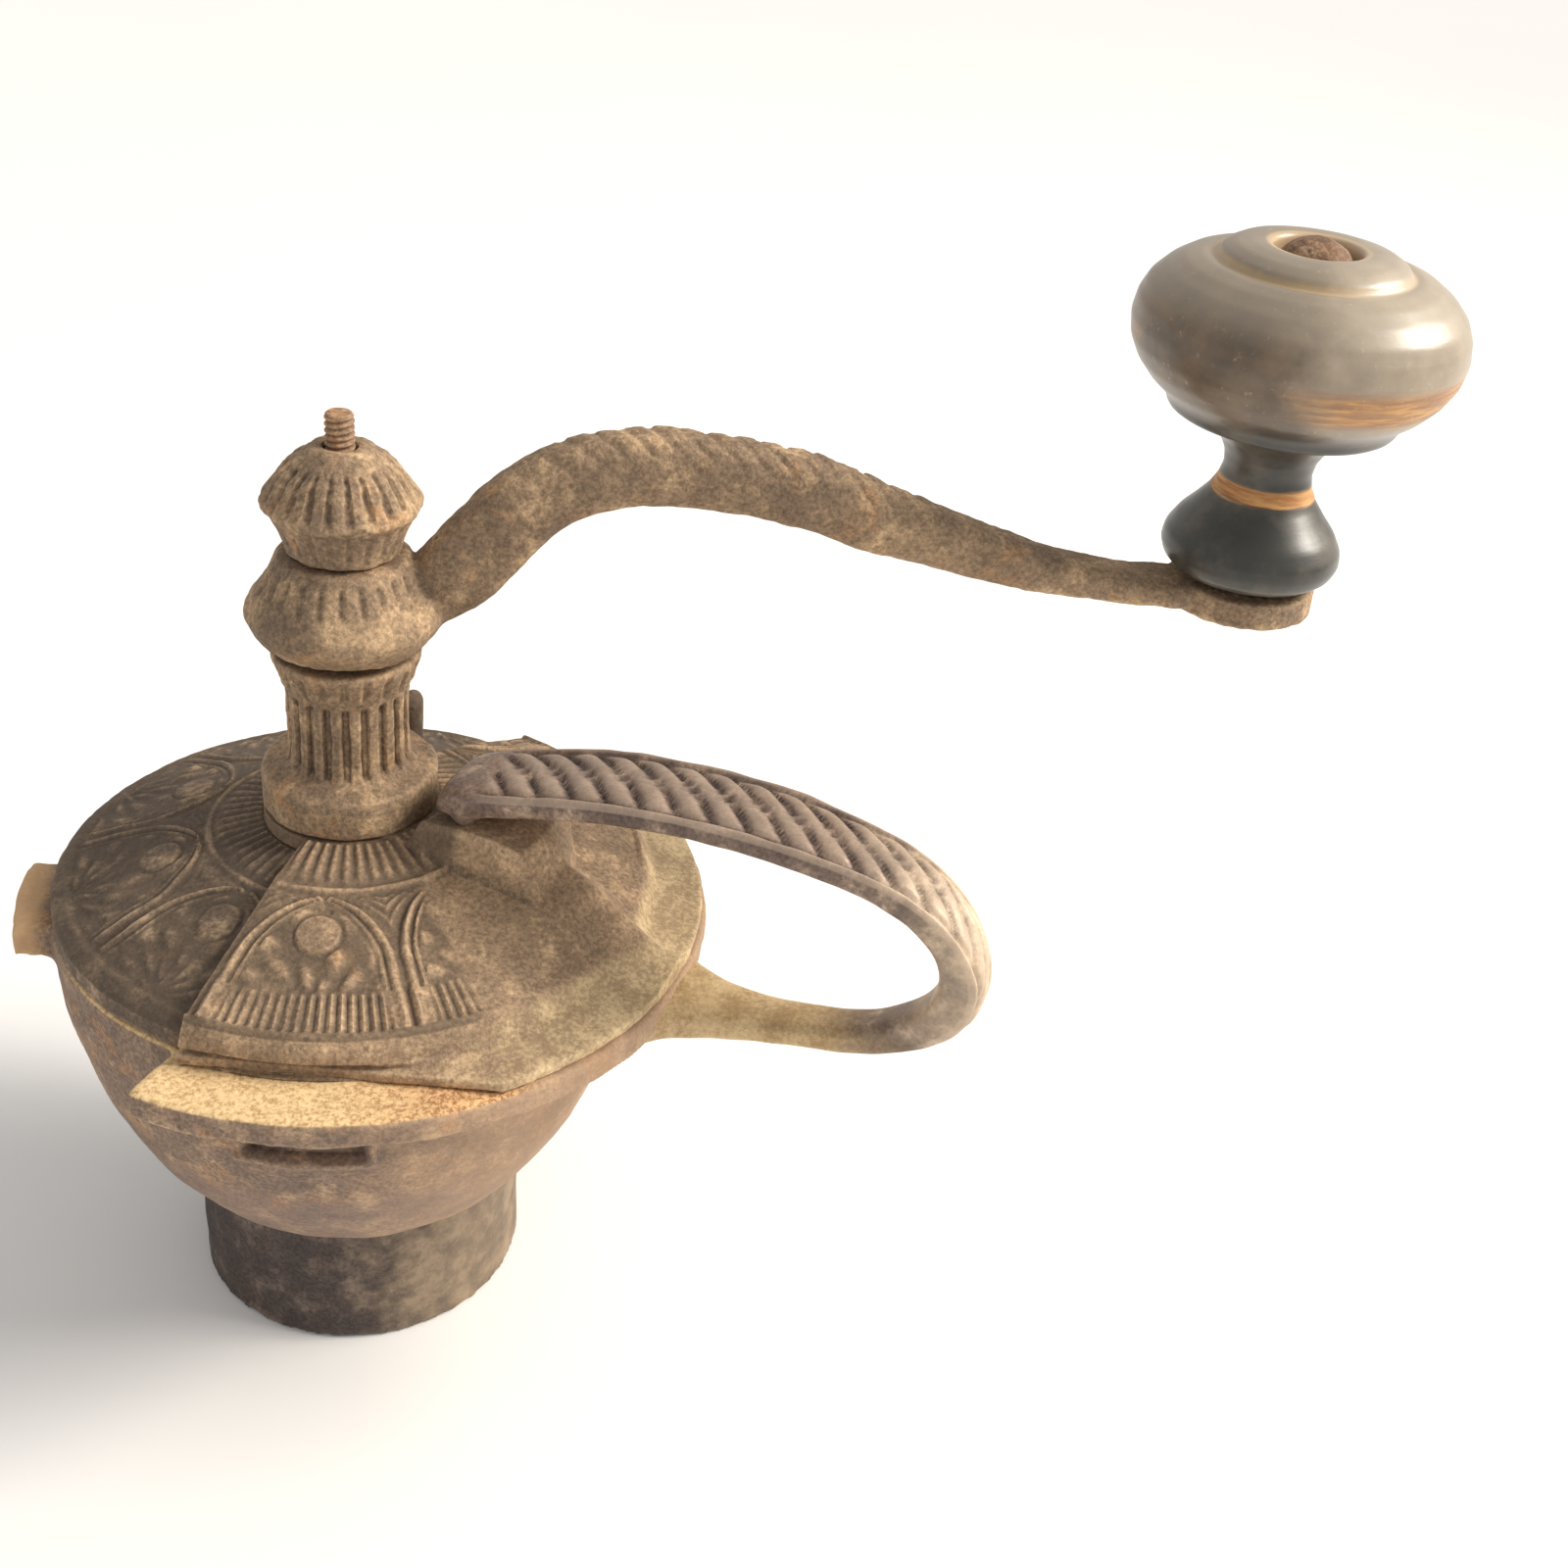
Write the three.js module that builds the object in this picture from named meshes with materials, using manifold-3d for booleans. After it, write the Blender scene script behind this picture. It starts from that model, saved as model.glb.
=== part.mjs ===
// Cast-iron head of an antique box coffee mill: a hopper bowl with a conical mill in the collar
// under it, a half dome with a turning shutter, a fluted column, and a crank with a wooden knob.
// Millimetres, +Z up. Everything is laid out round the spindle axis, and the finished group is
// moved so that its origin is the middle of its own footprint, on the surface it stands on.
import * as THREE from "three";
import { mergeVertices } from "three/addons/utils/BufferGeometryUtils.js";
import Module from "manifold-3d";

const wasm = await Module();
wasm.setup();

// ---------------------------------------------------------------- driving dimensions
const GAP = 0.3; // left between pieces that touch
const ROUND = 48; // sides of a turned piece
const WIDE = 72; // sides of the bowl's rim and of the shells over it
const FINE = 20; // sides of a screw, pin or rivet

const COLLAR = { outerR: 29.3, wall: 4.2, height: 28 };
const BOWL = { footR: 32.5, rimR: 50, rimZ: 79.6, wall: 4, floor: 4.4, throatR: 20.6 };
const FLANGE = { outerR: 61.5, thick: 4.8, underSlope: 2.6, from: -121, to: 54 };
const LEFT_EAR = { outerR: 56, from: 170, to: 192 };
const POCKET = { from: -110, to: -86, bottom: 59.5, height: 5, depth: 2.4 };

const COVER = { from: -118, to: 52, thick: 2.8, footR: 50.2, footZ: 86.6, topZ: 98.5 };
const SKIRT = { wall: 3.1, brimR: 60.6, brimThick: 2.9, brimFrom: -56, brimTo: 51 };
const HUB_R = 14.4; // cover and shutter rings under the column's base
const SHUTTER = { from: 47, to: 250, thick: 2.3, rimWall: 3.4, play: 0.5 };
const TAB = { angle: 63, r: 22, width: 5.2, thick: 3.6, top: 108 };
const RETAINER = { outerR: 13.4, height: 3.2 };
const WEB = { angle: -27, width: 9, startR: 18 };

const COLUMN = { shaftR: 9.9, baseR: 14.8, baseHeight: 8, capitalR: 12, top: 127.6, spigotR: 9.4 };
const SPINDLE = { r: 4, play: 0.4, squareHalf: 3.2, squareTo: 144.2, top: 167.3 };
const THREAD_R = 2.4;

const CRANK = { length: 150, hubR: 16.2, hubTop: 144.2, width: 8.6, eyeR: 12.2, eyeBottom: 137.7, eyeTop: 142.7 };
const NUT = { bottom: 144.6, ringZ: 152.8, ringR: 12.9, top: 162 };
const KNOB = { maxR: 26.8, neckR: 7.2, baseR: 15, top: 199.2, boltR: 3, counterboreR: 6.9, counterboreDepth: 5 };

const BURR = { bottom: 13.4, coneR: 19.6, ribs: 14, ribDepth: 0.07, twist: 0.05, outerClear: 1.1 };
const BRIDGE = { bottom: 1.9, thick: 4.2, width: 11 };
const LUG = { height: 6, width: 11, reach: 6.5 };
const ADJUSTER = { r: 3, bottom: 0.5, top: 10.2, nutAcross: 9.5, nutThick: 2.8 };
const PAD = { r: 3.6, thick: 1.6 };

const HANDLE = { width: 12.4, pinR: 1.5 };
const SCREW = { r: 1.6, headR: 3.1, headHeight: 1.5 };
const COVER_SCREW_ANGLES = [-48, 6, 43];
const COLLAR_SCREW_ANGLES = [0, 120, 240];

// ---------------------------------------------------------------- finishes
function iron(colour, roughness = 0.8) {
  return new THREE.MeshStandardMaterial({ color: colour, roughness, metalness: 0.6 });
}
const rustyTan = () => iron(0x8c7355);
const darkIron = () => iron(0x5a5048);
const burntOrange = () => iron(0x9a6a3e);
const greySteel = () => iron(0x77736c, 0.55);
const paintedWood = () => new THREE.MeshStandardMaterial({ color: 0x4b4d42, roughness: 0.3, metalness: 0 });

// ---------------------------------------------------------------- solid helpers
const turn = (degrees) => THREE.MathUtils.degToRad(degrees);
const onRim = (r, degrees) => [r * Math.cos(turn(degrees)), r * Math.sin(turn(degrees))];

// A geometry as a solid: shared corners merged, and the collapsed triangles at poles left out.
function solid(geometry) {
  const bare = geometry.clone();
  bare.deleteAttribute("normal");
  bare.deleteAttribute("uv");
  const merged = mergeVertices(bare, 1e-4);
  const corners = merged.index.array;
  const kept = [];
  for (let i = 0; i < corners.length; i += 3) {
    const [a, b, c] = [corners[i], corners[i + 1], corners[i + 2]];
    if (a !== b && b !== c && c !== a) kept.push(a, b, c);
  }
  const vertProperties = new Float32Array(merged.attributes.position.array);
  return new wasm.Manifold(new wasm.Mesh({ numProp: 3, vertProperties, triVerts: new Uint32Array(kept) }));
}

// Turned about Z. The outline runs anticlockwise in (radius, height).
function turned(outline, sides = ROUND) {
  const points = outline.map(([r, z]) => new THREE.Vector2(Math.max(r, 0), z));
  return solid(new THREE.LatheGeometry(points, sides).rotateX(Math.PI / 2));
}

function ring(outerR, innerR, z0, z1, sides = ROUND) {
  return turned([[innerR, z0], [outerR, z0], [outerR, z1], [innerR, z1], [innerR, z0]], sides);
}

function disc(r, z0, z1, [x, y] = [0, 0], sides = FINE) {
  const geometry = new THREE.CylinderGeometry(r, r, z1 - z0, sides).rotateX(Math.PI / 2);
  return solid(geometry.translate(x, y, (z0 + z1) / 2));
}

function block(sizeX, sizeY, z0, z1, [x, y] = [0, 0], degrees = 0) {
  const geometry = new THREE.BoxGeometry(sizeX, sizeY, z1 - z0).translate(x, y, (z0 + z1) / 2);
  return solid(geometry.rotateZ(turn(degrees)));
}

// A cylinder lying along the radius at the given angle.
function radialRod(r, from, to, z, degrees, sides = FINE) {
  const geometry = new THREE.CylinderGeometry(r, r, to - from, sides).rotateZ(Math.PI / 2);
  return solid(geometry.translate((from + to) / 2, 0, z).rotateZ(turn(degrees)));
}

// A slice of pie, for cutting a turned piece to a sector.
function sector(from, to, z0, z1, reach = 120) {
  const slice = new THREE.Shape().moveTo(0, 0).lineTo(...onRim(reach, from));
  slice.absarc(0, 0, reach, turn(from), turn(to), false);
  const settings = { depth: z1 - z0, bevelEnabled: false, curveSegments: 24 };
  return solid(new THREE.ExtrudeGeometry(slice, settings).translate(0, 0, z0));
}

// A side view in (radius, height) given a thickness across it, at the given angle.
function standing(shape, width, degrees, smoothness = 3) {
  const settings = { depth: width, bevelEnabled: false, curveSegments: smoothness };
  const geometry = new THREE.ExtrudeGeometry(shape, settings).translate(0, 0, -width / 2);
  return solid(geometry.rotateX(Math.PI / 2).rotateZ(turn(degrees)));
}

const points2 = (list) => list.map(([x, y]) => new THREE.Vector2(x, y));

// A turned solid whose radius swells and sinks round it, for burr teeth.
function toothed(outline, teeth, depth, twist) {
  const points = outline.map(([r, z]) => new THREE.Vector2(r, z));
  const geometry = new THREE.LatheGeometry(points, teeth * 4).rotateX(Math.PI / 2);
  const place = geometry.attributes.position;
  for (let i = 0; i < place.count; i += 1) {
    const side = Math.round((Math.atan2(place.getY(i), place.getX(i)) / (2 * Math.PI)) * teeth * 4);
    const sunk = ((side % 4) + 4) % 4 < 2 ? 1 : 1 - depth;
    place.setXY(i, place.getX(i) * sunk, place.getY(i) * sunk);
    const angle = twist * place.getZ(i);
    const [x, y] = [place.getX(i), place.getY(i)];
    place.setXY(i, x * Math.cos(angle) - y * Math.sin(angle), x * Math.sin(angle) + y * Math.cos(angle));
  }
  return solid(geometry);
}

const mill = new THREE.Group();
function fit(name, shape, material) {
  const { vertProperties, triVerts } = shape.getMesh();
  const geometry = new THREE.BufferGeometry();
  geometry.setAttribute("position", new THREE.BufferAttribute(vertProperties, 3));
  geometry.setIndex(new THREE.BufferAttribute(triVerts, 1));
  geometry.computeVertexNormals();
  const mesh = new THREE.Mesh(geometry, material);
  mesh.name = name;
  mill.add(mesh);
}

// ---------------------------------------------------------------- hopper bowl
const footZ = COLLAR.height + GAP;
const floorZ = footZ + BOWL.floor;
const bowlDrop = (BOWL.rimZ - footZ) / Math.sqrt(1 - (BOWL.footR / BOWL.rimR) ** 2);
const bowlR = (z) => BOWL.rimR * Math.sqrt(1 - ((BOWL.rimZ - z) / bowlDrop) ** 2);

function steps(from, to, count) {
  return Array.from({ length: count + 1 }, (unused, i) => from + ((to - from) * i) / count);
}

const bowlOutside = steps(footZ, BOWL.rimZ, 10).map((z) => [bowlR(z), z]);
const bowlInside = steps(BOWL.rimZ, floorZ, 9).map((z) => [bowlR(z) - BOWL.wall, z]);
const bowlOutline = [[BOWL.throatR, footZ], ...bowlOutside, ...bowlInside];
bowlOutline.push([BOWL.throatR, floorZ - BOWL.floor / 3], [BOWL.throatR, footZ]);

const flangeBottom = BOWL.rimZ - FLANGE.thick;
function rimShelf(outerR, from, to) {
  const root = BOWL.rimR - BOWL.wall / 2;
  const outline = [[root, flangeBottom - FLANGE.underSlope], [outerR, flangeBottom], [outerR, BOWL.rimZ]];
  outline.push([root, BOWL.rimZ], outline[0]);
  return turned(outline, WIDE).intersect(sector(from, to, 0, BOWL.rimZ + 1));
}

const pocketMiddle = (POCKET.from + POCKET.to) / 2;
const pocketWidth = bowlR(POCKET.bottom) * turn(POCKET.to - POCKET.from);
const pocketFloor = bowlR(POCKET.bottom) - POCKET.depth;
const pocketCut = block(20, pocketWidth, POCKET.bottom, POCKET.bottom + POCKET.height, [pocketFloor + 10, 0], pocketMiddle);

const coverScrewR = (SKIRT.brimR + BOWL.rimR + SKIRT.wall + GAP) / 2;
const coverBase = BOWL.rimZ + GAP;
const brimTop = coverBase + SKIRT.brimThick;
const pinZ = BOWL.rimZ - FLANGE.thick / 2;
const pinReach = 5;
let bowl = turned(bowlOutline)
  .add(rimShelf(FLANGE.outerR, FLANGE.from, FLANGE.to))
  .add(rimShelf(LEFT_EAR.outerR, LEFT_EAR.from, LEFT_EAR.to))
  .subtract(pocketCut)
  .subtract(radialRod(HANDLE.pinR + GAP, FLANGE.outerR - pinReach, FLANGE.outerR + 2, pinZ, WEB.angle));
for (const angle of COVER_SCREW_ANGLES) {
  bowl = bowl.subtract(disc(SCREW.r + GAP, flangeBottom - 6, BOWL.rimZ + 1, onRim(coverScrewR, angle)));
}
const collarScrewR = COLLAR.outerR - COLLAR.wall / 2;
for (const angle of COLLAR_SCREW_ANGLES) {
  bowl = bowl.subtract(disc(1.2 + GAP, footZ - 1, floorZ + 1, onRim(collarScrewR, angle)));
}
fit("hopper_bowl", bowl, rustyTan());

// ---------------------------------------------------------------- grinding collar and its lugs
const collarBore = COLLAR.outerR - COLLAR.wall;
const lugBottom = BRIDGE.bottom + BRIDGE.thick + GAP;
const lugTop = lugBottom + LUG.height;
const lugMiddle = collarBore - LUG.reach / 2;
let collar = ring(COLLAR.outerR, collarBore, 0, COLLAR.height);
const screwReach = 7;
for (const angle of COLLAR_SCREW_ANGLES) {
  collar = collar.subtract(disc(1.2 + GAP, COLLAR.height - screwReach - 1, COLLAR.height + 1, onRim(collarScrewR, angle)));
}
const bridgeScrewR = collarBore - LUG.reach / 2 - 0.6;
for (const angle of [90, 270]) {
  const lug = block(LUG.reach + 1.5, LUG.width, lugBottom, lugTop, [lugMiddle + 0.75, 0], angle);
  collar = collar.add(lug).subtract(disc(SCREW.r + GAP, lugBottom - 1, lugTop - 1, onRim(bridgeScrewR, angle)));
}
fit("grinding_collar", collar, darkIron());

for (const [i, angle] of COLLAR_SCREW_ANGLES.entries()) {
  const place = onRim(collarScrewR, angle);
  const shank = disc(1.2, COLLAR.height - screwReach, floorZ + GAP + 0.5, place);
  const head = disc(2.4, floorZ + GAP, floorZ + GAP + 1.3, place);
  fit(`collar_screw_${i + 1}`, shank.add(head), greySteel());
}

// ---------------------------------------------------------------- conical mill
const outerBurrBottom = lugTop + GAP;
const outerBurrTop = COLLAR.height - GAP;
const waistZ = (outerBurrBottom + outerBurrTop) / 2;
const slope = 0.5; // how fast both cones close in with height
const cavityR = (z) => BURR.coneR + BURR.outerClear - slope * (z - BURR.bottom);
const cavity = toothed(
  [[0, outerBurrBottom - 1], [cavityR(outerBurrBottom - 1), outerBurrBottom - 1], [cavityR(waistZ), waistZ],
    [cavityR(waistZ) + 2.4, outerBurrTop + 1], [0, outerBurrTop + 1]],
  BURR.ribs, -BURR.ribDepth, -BURR.twist);
const burrBody = ring(collarBore - GAP, 6, outerBurrBottom, outerBurrTop);
fit("outer_burr", burrBody.subtract(cavity), greySteel());

const burrTop = outerBurrTop + 1.5;
const coneR = (z) => BURR.coneR - slope * (z - BURR.bottom);
const drivePinZ = BURR.bottom + 4.5;
const drivePinR = 1.3;
const innerBurr = toothed(
  [[0, BURR.bottom], [coneR(BURR.bottom), BURR.bottom], [coneR(waistZ), waistZ],
    [coneR(waistZ) - 5, waistZ + 4], [7.5, burrTop], [0, burrTop]],
  BURR.ribs, BURR.ribDepth, -BURR.twist)
  .subtract(disc(SPINDLE.r + GAP, BURR.bottom - 1, burrTop + 1))
  .subtract(radialRod(drivePinR + GAP, -12, 12, drivePinZ, 0));
fit("inner_burr", innerBurr, greySteel());
fit("burr_drive_pin", radialRod(drivePinR, -10, 10, drivePinZ, 0), greySteel());

// ---------------------------------------------------------------- spindle
const padBottom = ADJUSTER.top + GAP;
const spindleBottom = padBottom + PAD.thick + GAP;
const square = SPINDLE.squareHalf * 2;
const washerBottom = COLUMN.top + GAP;
const washerTop = washerBottom + 1;
const hubBottom = washerTop + GAP;
const spindle = disc(SPINDLE.r, spindleBottom, hubBottom - 0.1, [0, 0], 32)
  .add(block(square, square, hubBottom - 0.2, SPINDLE.squareTo))
  .add(disc(THREAD_R, SPINDLE.squareTo - 1, SPINDLE.top, [0, 0], 24))
  .subtract(radialRod(drivePinR + GAP, -8, 8, drivePinZ, 0));
fit("spindle", spindle, greySteel());
fit("thrust_pad", disc(PAD.r, padBottom, padBottom + PAD.thick, [0, 0], 24), greySteel());

// ---------------------------------------------------------------- bridge and adjuster
const bridgeTop = BRIDGE.bottom + BRIDGE.thick;
const bridgeR = collarBore - 2 * GAP;
let bridge = block(BRIDGE.width, 2 * bridgeR, BRIDGE.bottom, bridgeTop)
  .intersect(disc(bridgeR, BRIDGE.bottom - 1, bridgeTop + 1, [0, 0], ROUND))
  .subtract(disc(ADJUSTER.r + GAP, BRIDGE.bottom - 1, bridgeTop + 1));
for (const [i, angle] of [90, 270].entries()) {
  const place = onRim(bridgeScrewR, angle);
  bridge = bridge.subtract(disc(SCREW.r + GAP, BRIDGE.bottom - 1, bridgeTop + 1, place));
  const shank = disc(SCREW.r, BRIDGE.bottom - GAP - 0.5, lugTop - 2, place);
  const head = disc(SCREW.headR - 0.3, GAP, BRIDGE.bottom - GAP, place);
  fit(`bridge_screw_${i + 1}`, shank.add(head), greySteel());
}
fit("adjusting_bridge", bridge, darkIron());

const slot = block(8, 1.2, ADJUSTER.bottom - 1, ADJUSTER.bottom + 1.2);
fit("adjusting_screw", disc(ADJUSTER.r, ADJUSTER.bottom, ADJUSTER.top).subtract(slot), greySteel());
const nutBottom = bridgeTop + GAP;
const nutCircle = ADJUSTER.nutAcross / Math.sqrt(3);
const lockNut = disc(nutCircle, nutBottom, nutBottom + ADJUSTER.nutThick, [0, 0], 6)
  .subtract(disc(ADJUSTER.r + GAP, nutBottom - 1, nutBottom + ADJUSTER.nutThick + 1));
fit("adjusting_lock_nut", lockNut, greySteel());

// ---------------------------------------------------------------- half dome, shutter and column
// Height of the dome's top at a radius: nearly flat at the column, falling faster at the foot.
function domeZ(r) {
  const share = Math.min(1, Math.max(0, (r - HUB_R) / (COVER.footR - HUB_R)));
  return COVER.footZ + (COVER.topZ - COVER.footZ) * (1 - share ** 1.25);
}
const hubBoreR = COLUMN.spigotR + GAP;
const skirtR = COVER.footR + SKIRT.wall;
const shutterR = COVER.footR - 0.6;
const shutterDrop = COVER.thick + SHUTTER.play;
const shellR = (inset) => steps(HUB_R, COVER.footR - inset, 8);

const coverTopEdge = shellR(0).reverse().map((r) => [r, domeZ(r)]);
const coverUnderEdge = shellR(3).map((r) => [r, domeZ(r) - COVER.thick]);
const skirtInnerR = shutterR + SHUTTER.play + GAP;
const coverOutline = [[hubBoreR, COVER.topZ - COVER.thick], ...coverUnderEdge, [skirtInnerR, COVER.footZ - 3.4]];
coverOutline.push([skirtInnerR, coverBase], [skirtR, coverBase], ...coverTopEdge, [hubBoreR, COVER.topZ]);
coverOutline.push(coverOutline[0]);

// The web under the handle, its top edge sloping from the handle's root down to the brim.
const webTop = [[WEB.startR, domeZ(WEB.startR) + 1], [25, 101.5], [36, 97.2], [46, 92.6], [55, 86.4], [SKIRT.brimR, brimTop + 0.6]];
const webUnder = [[SKIRT.brimR, brimTop - 1.5], [skirtR - 1, brimTop - 1], [44, domeZ(44) - 1.6], [30, domeZ(30) - 1.4]];
const webShape = new THREE.Shape(points2([...webTop, ...webUnder, [WEB.startR, domeZ(WEB.startR) - 1]]));
const rivet = { r: 1.6, headR: 2.9, at: 28.5, seat: 109.2, bottom: 97 };

const coverRing = ring(HUB_R, hubBoreR, COVER.topZ - COVER.thick, COVER.topZ, WIDE);
const brim = ring(SKIRT.brimR, skirtR - 1, coverBase, brimTop, WIDE)
  .intersect(sector(SKIRT.brimFrom, SKIRT.brimTo, coverBase - 1, brimTop + 1));
let cover = turned(coverOutline, WIDE)
  .intersect(sector(COVER.from, COVER.to, 60, 110))
  .add(coverRing)
  .add(brim)
  .add(standing(webShape, WEB.width, WEB.angle));
for (const [i, angle] of COVER_SCREW_ANGLES.entries()) {
  const place = onRim(coverScrewR, angle);
  cover = cover.subtract(disc(SCREW.r + GAP, coverBase - 1, brimTop - 0.7, place));
  const headTop = flangeBottom - FLANGE.underSlope - GAP;
  const shank = disc(SCREW.r, headTop - 0.5, brimTop - 1.2, place);
  const head = disc(SCREW.headR, headTop - SCREW.headHeight, headTop, place);
  fit(`cover_screw_${i + 1}`, shank.add(head), greySteel());
}
const rivetPlace = onRim(rivet.at, WEB.angle);
cover = cover.subtract(disc(rivet.r + GAP, rivet.bottom - 0.5, rivet.seat + 5, rivetPlace));
fit("dome_cover", cover, rustyTan());

const shutterTopEdge = shellR(3).reverse().map((r) => [r, domeZ(r) - shutterDrop]);
const shutterUnderEdge = shellR(5.2).map((r) => [r, domeZ(r) - shutterDrop - SHUTTER.thick]);
const shutterRingTop = COVER.topZ - shutterDrop;
const rimInnerR = shutterR - SHUTTER.rimWall;
const shutterOutline = [[hubBoreR, shutterRingTop - SHUTTER.thick], ...shutterUnderEdge];
shutterOutline.push([rimInnerR, coverBase], [shutterR, coverBase], [shutterR, COVER.footZ - 4.4]);
shutterOutline.push(...shutterTopEdge, [hubBoreR, shutterRingTop]);
shutterOutline.push(shutterOutline[0]);
const tabBottom = domeZ(TAB.r) - shutterDrop - 1.5;
const tabSide = new THREE.Shape()
  .moveTo(TAB.r - TAB.width / 2, tabBottom)
  .lineTo(TAB.r + TAB.width / 2, tabBottom)
  .lineTo(TAB.r + TAB.width / 2, TAB.top - TAB.width / 2)
  .absarc(TAB.r, TAB.top - TAB.width / 2, TAB.width / 2, 0, Math.PI, false);
const shutter = turned(shutterOutline, WIDE)
  .intersect(sector(SHUTTER.from, 180, 60, 110).add(sector(179, SHUTTER.to, 60, 110)))
  .add(ring(HUB_R, hubBoreR, shutterRingTop - SHUTTER.thick, shutterRingTop, WIDE))
  .add(standing(tabSide, TAB.thick, TAB.angle, 5));
fit("shutter", shutter, rustyTan());

const retainerTop = shutterRingTop - SHUTTER.thick - 2 * GAP;
const retainerBottom = retainerTop - RETAINER.height;
fit("shutter_retaining_ring", ring(RETAINER.outerR, hubBoreR, retainerBottom, retainerTop), darkIron());

const columnBottom = COVER.topZ + GAP;
const baseTop = columnBottom + COLUMN.baseHeight;
const boreR = SPINDLE.r + SPINDLE.play;
const columnOutline = [
  [boreR, retainerBottom - 1.5], [COLUMN.spigotR, retainerBottom - 1.5], [COLUMN.spigotR, columnBottom],
  [COLUMN.baseR, columnBottom], [COLUMN.baseR - 0.4, baseTop - 3.4], [COLUMN.baseR - 2.2, baseTop - 1],
  [COLUMN.shaftR, baseTop + 2], [COLUMN.shaftR, COLUMN.top - 6.4], [COLUMN.capitalR - 1, COLUMN.top - 3.4],
  [COLUMN.capitalR, COLUMN.top], [boreR, COLUMN.top], [boreR, retainerBottom - 1.5]];
fit("fluted_column", turned(columnOutline), rustyTan());

// ---------------------------------------------------------------- side handle
// The outer edge loops up from the web, out, and back to the flange; the inner edge follows it.
const handleEnd = FLANGE.outerR + GAP;
const handleOuter = [[22.5, 104.5], [28, 111], [42, 117.2], [60, 119.8], [78, 118.4], [95, 112.2],
  [107, 101.5], [109.5, 92], [105.5, 83.5], [96, 76.6], [84, 72.6], [72, 71.8], [handleEnd, 73.2]];
const handleInner = [[handleEnd, 80.2], [72, 78.2], [84, 79.2], [93, 82.4], [100, 87.6], [102.6, 93.5],
  [100.6, 100], [91, 107.3], [77, 112], [60, 112.6], [44, 109.6], [35, 104.6], [29.4, 100.6]];
const handleShape = new THREE.Shape().moveTo(...handleOuter[0]).splineThru(points2(handleOuter.slice(1)));
handleShape.lineTo(...handleInner[0]).splineThru(points2(handleInner.slice(1)));
const underHandle = [...webTop.map(([r, z]) => [r, z + GAP]), [SKIRT.brimR, 60], [WEB.startR, 60]];
const handle = standing(handleShape, HANDLE.width, WEB.angle, 2)
  .subtract(standing(new THREE.Shape(points2(underHandle)), HANDLE.width + 2, WEB.angle))
  .subtract(disc(rivet.r + GAP, rivet.bottom, rivet.seat + 5, rivetPlace))
  .subtract(disc(rivet.headR + GAP, rivet.seat - GAP, rivet.seat + 10, rivetPlace))
  .subtract(radialRod(HANDLE.pinR + GAP, handleEnd - 2, handleEnd + pinReach, pinZ, WEB.angle));
fit("side_handle", handle, darkIron());

const rivetShank = disc(rivet.r, rivet.bottom, rivet.seat + 0.5, rivetPlace);
fit("handle_rivet", rivetShank.add(disc(rivet.headR, rivet.seat, rivet.seat + 2.2, rivetPlace)), burntOrange());
const pinFrom = FLANGE.outerR - pinReach + GAP;
const pinTo = handleEnd + pinReach - GAP;
fit("handle_pin", radialRod(HANDLE.pinR, pinFrom, pinTo, pinZ, WEB.angle), greySteel());

// ---------------------------------------------------------------- crank
const washerBore = SPINDLE.squareHalf * Math.SQRT2 + GAP;
fit("crank_washer", ring(9.6, washerBore, washerBottom, washerTop, 32), greySteel());

const hubOutline = [
  [0, hubBottom], [12.9, hubBottom], [15, hubBottom + 2.2], [CRANK.hubR, hubBottom + 4.4],
  [CRANK.hubR, hubBottom + 6.2], [14.2, hubBottom + 8.4], [11.2, CRANK.hubTop - 3.4], [9.8, CRANK.hubTop],
  [0, CRANK.hubTop]];
const eyeInset = CRANK.length - 8;
const armTop = [[12, 141], [22, 152], [33, 160.6], [48, 164], [62, 162.8], [79, 160], [100, 150.8], [122, 145]];
const armUnder = [[118, 138.9], [98, 143.4], [77, 149.8], [58, 154], [44, 154.6], [34, 151], [25, 141], [18, 133.4], [12, 131]];
const armShape = new THREE.Shape().moveTo(...armTop[0]).splineThru(points2([...armTop.slice(1), [eyeInset, CRANK.eyeTop - 0.4]]));
armShape.lineTo(eyeInset, CRANK.eyeBottom + 0.4).splineThru(points2(armUnder));
const squareHole = 2 * (SPINDLE.squareHalf + GAP);
const eye = [CRANK.length, 0];
const crank = turned(hubOutline)
  .add(standing(armShape, CRANK.width, 0))
  .add(disc(CRANK.eyeR, CRANK.eyeBottom, CRANK.eyeTop, eye, 36))
  .subtract(block(squareHole, squareHole, hubBottom - 1, CRANK.hubTop + 1))
  .subtract(disc(KNOB.boltR + GAP, CRANK.eyeBottom - 1, CRANK.eyeTop + 1, eye));
fit("crank_arm", crank, rustyTan());

const nutOutline = [
  [THREAD_R + GAP, NUT.bottom], [8.7, NUT.bottom], [9.9, NUT.bottom + 2.6], [NUT.ringR - 0.5, NUT.ringZ - 1.4],
  [NUT.ringR, NUT.ringZ], [NUT.ringR - 1.2, NUT.ringZ + 1.8], [8.8, NUT.top - 4.4], [6, NUT.top - 2.4],
  [5.6, NUT.top - 1], [4.4, NUT.top], [THREAD_R + GAP, NUT.top], [THREAD_R + GAP, NUT.bottom]];
fit("cap_nut", turned(nutOutline), rustyTan());

// ---------------------------------------------------------------- knob and its bolt
const knobWasherBottom = CRANK.eyeTop + GAP;
const knobBottom = knobWasherBottom + 0.8 + GAP;
const knobBore = KNOB.boltR + GAP;
const washer = ring(9, knobBore, knobWasherBottom, knobWasherBottom + 0.8, 32);
const atKnob = (shape) => shape.translate(CRANK.length, 0, 0);
fit("knob_washer", atKnob(washer), greySteel());

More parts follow.
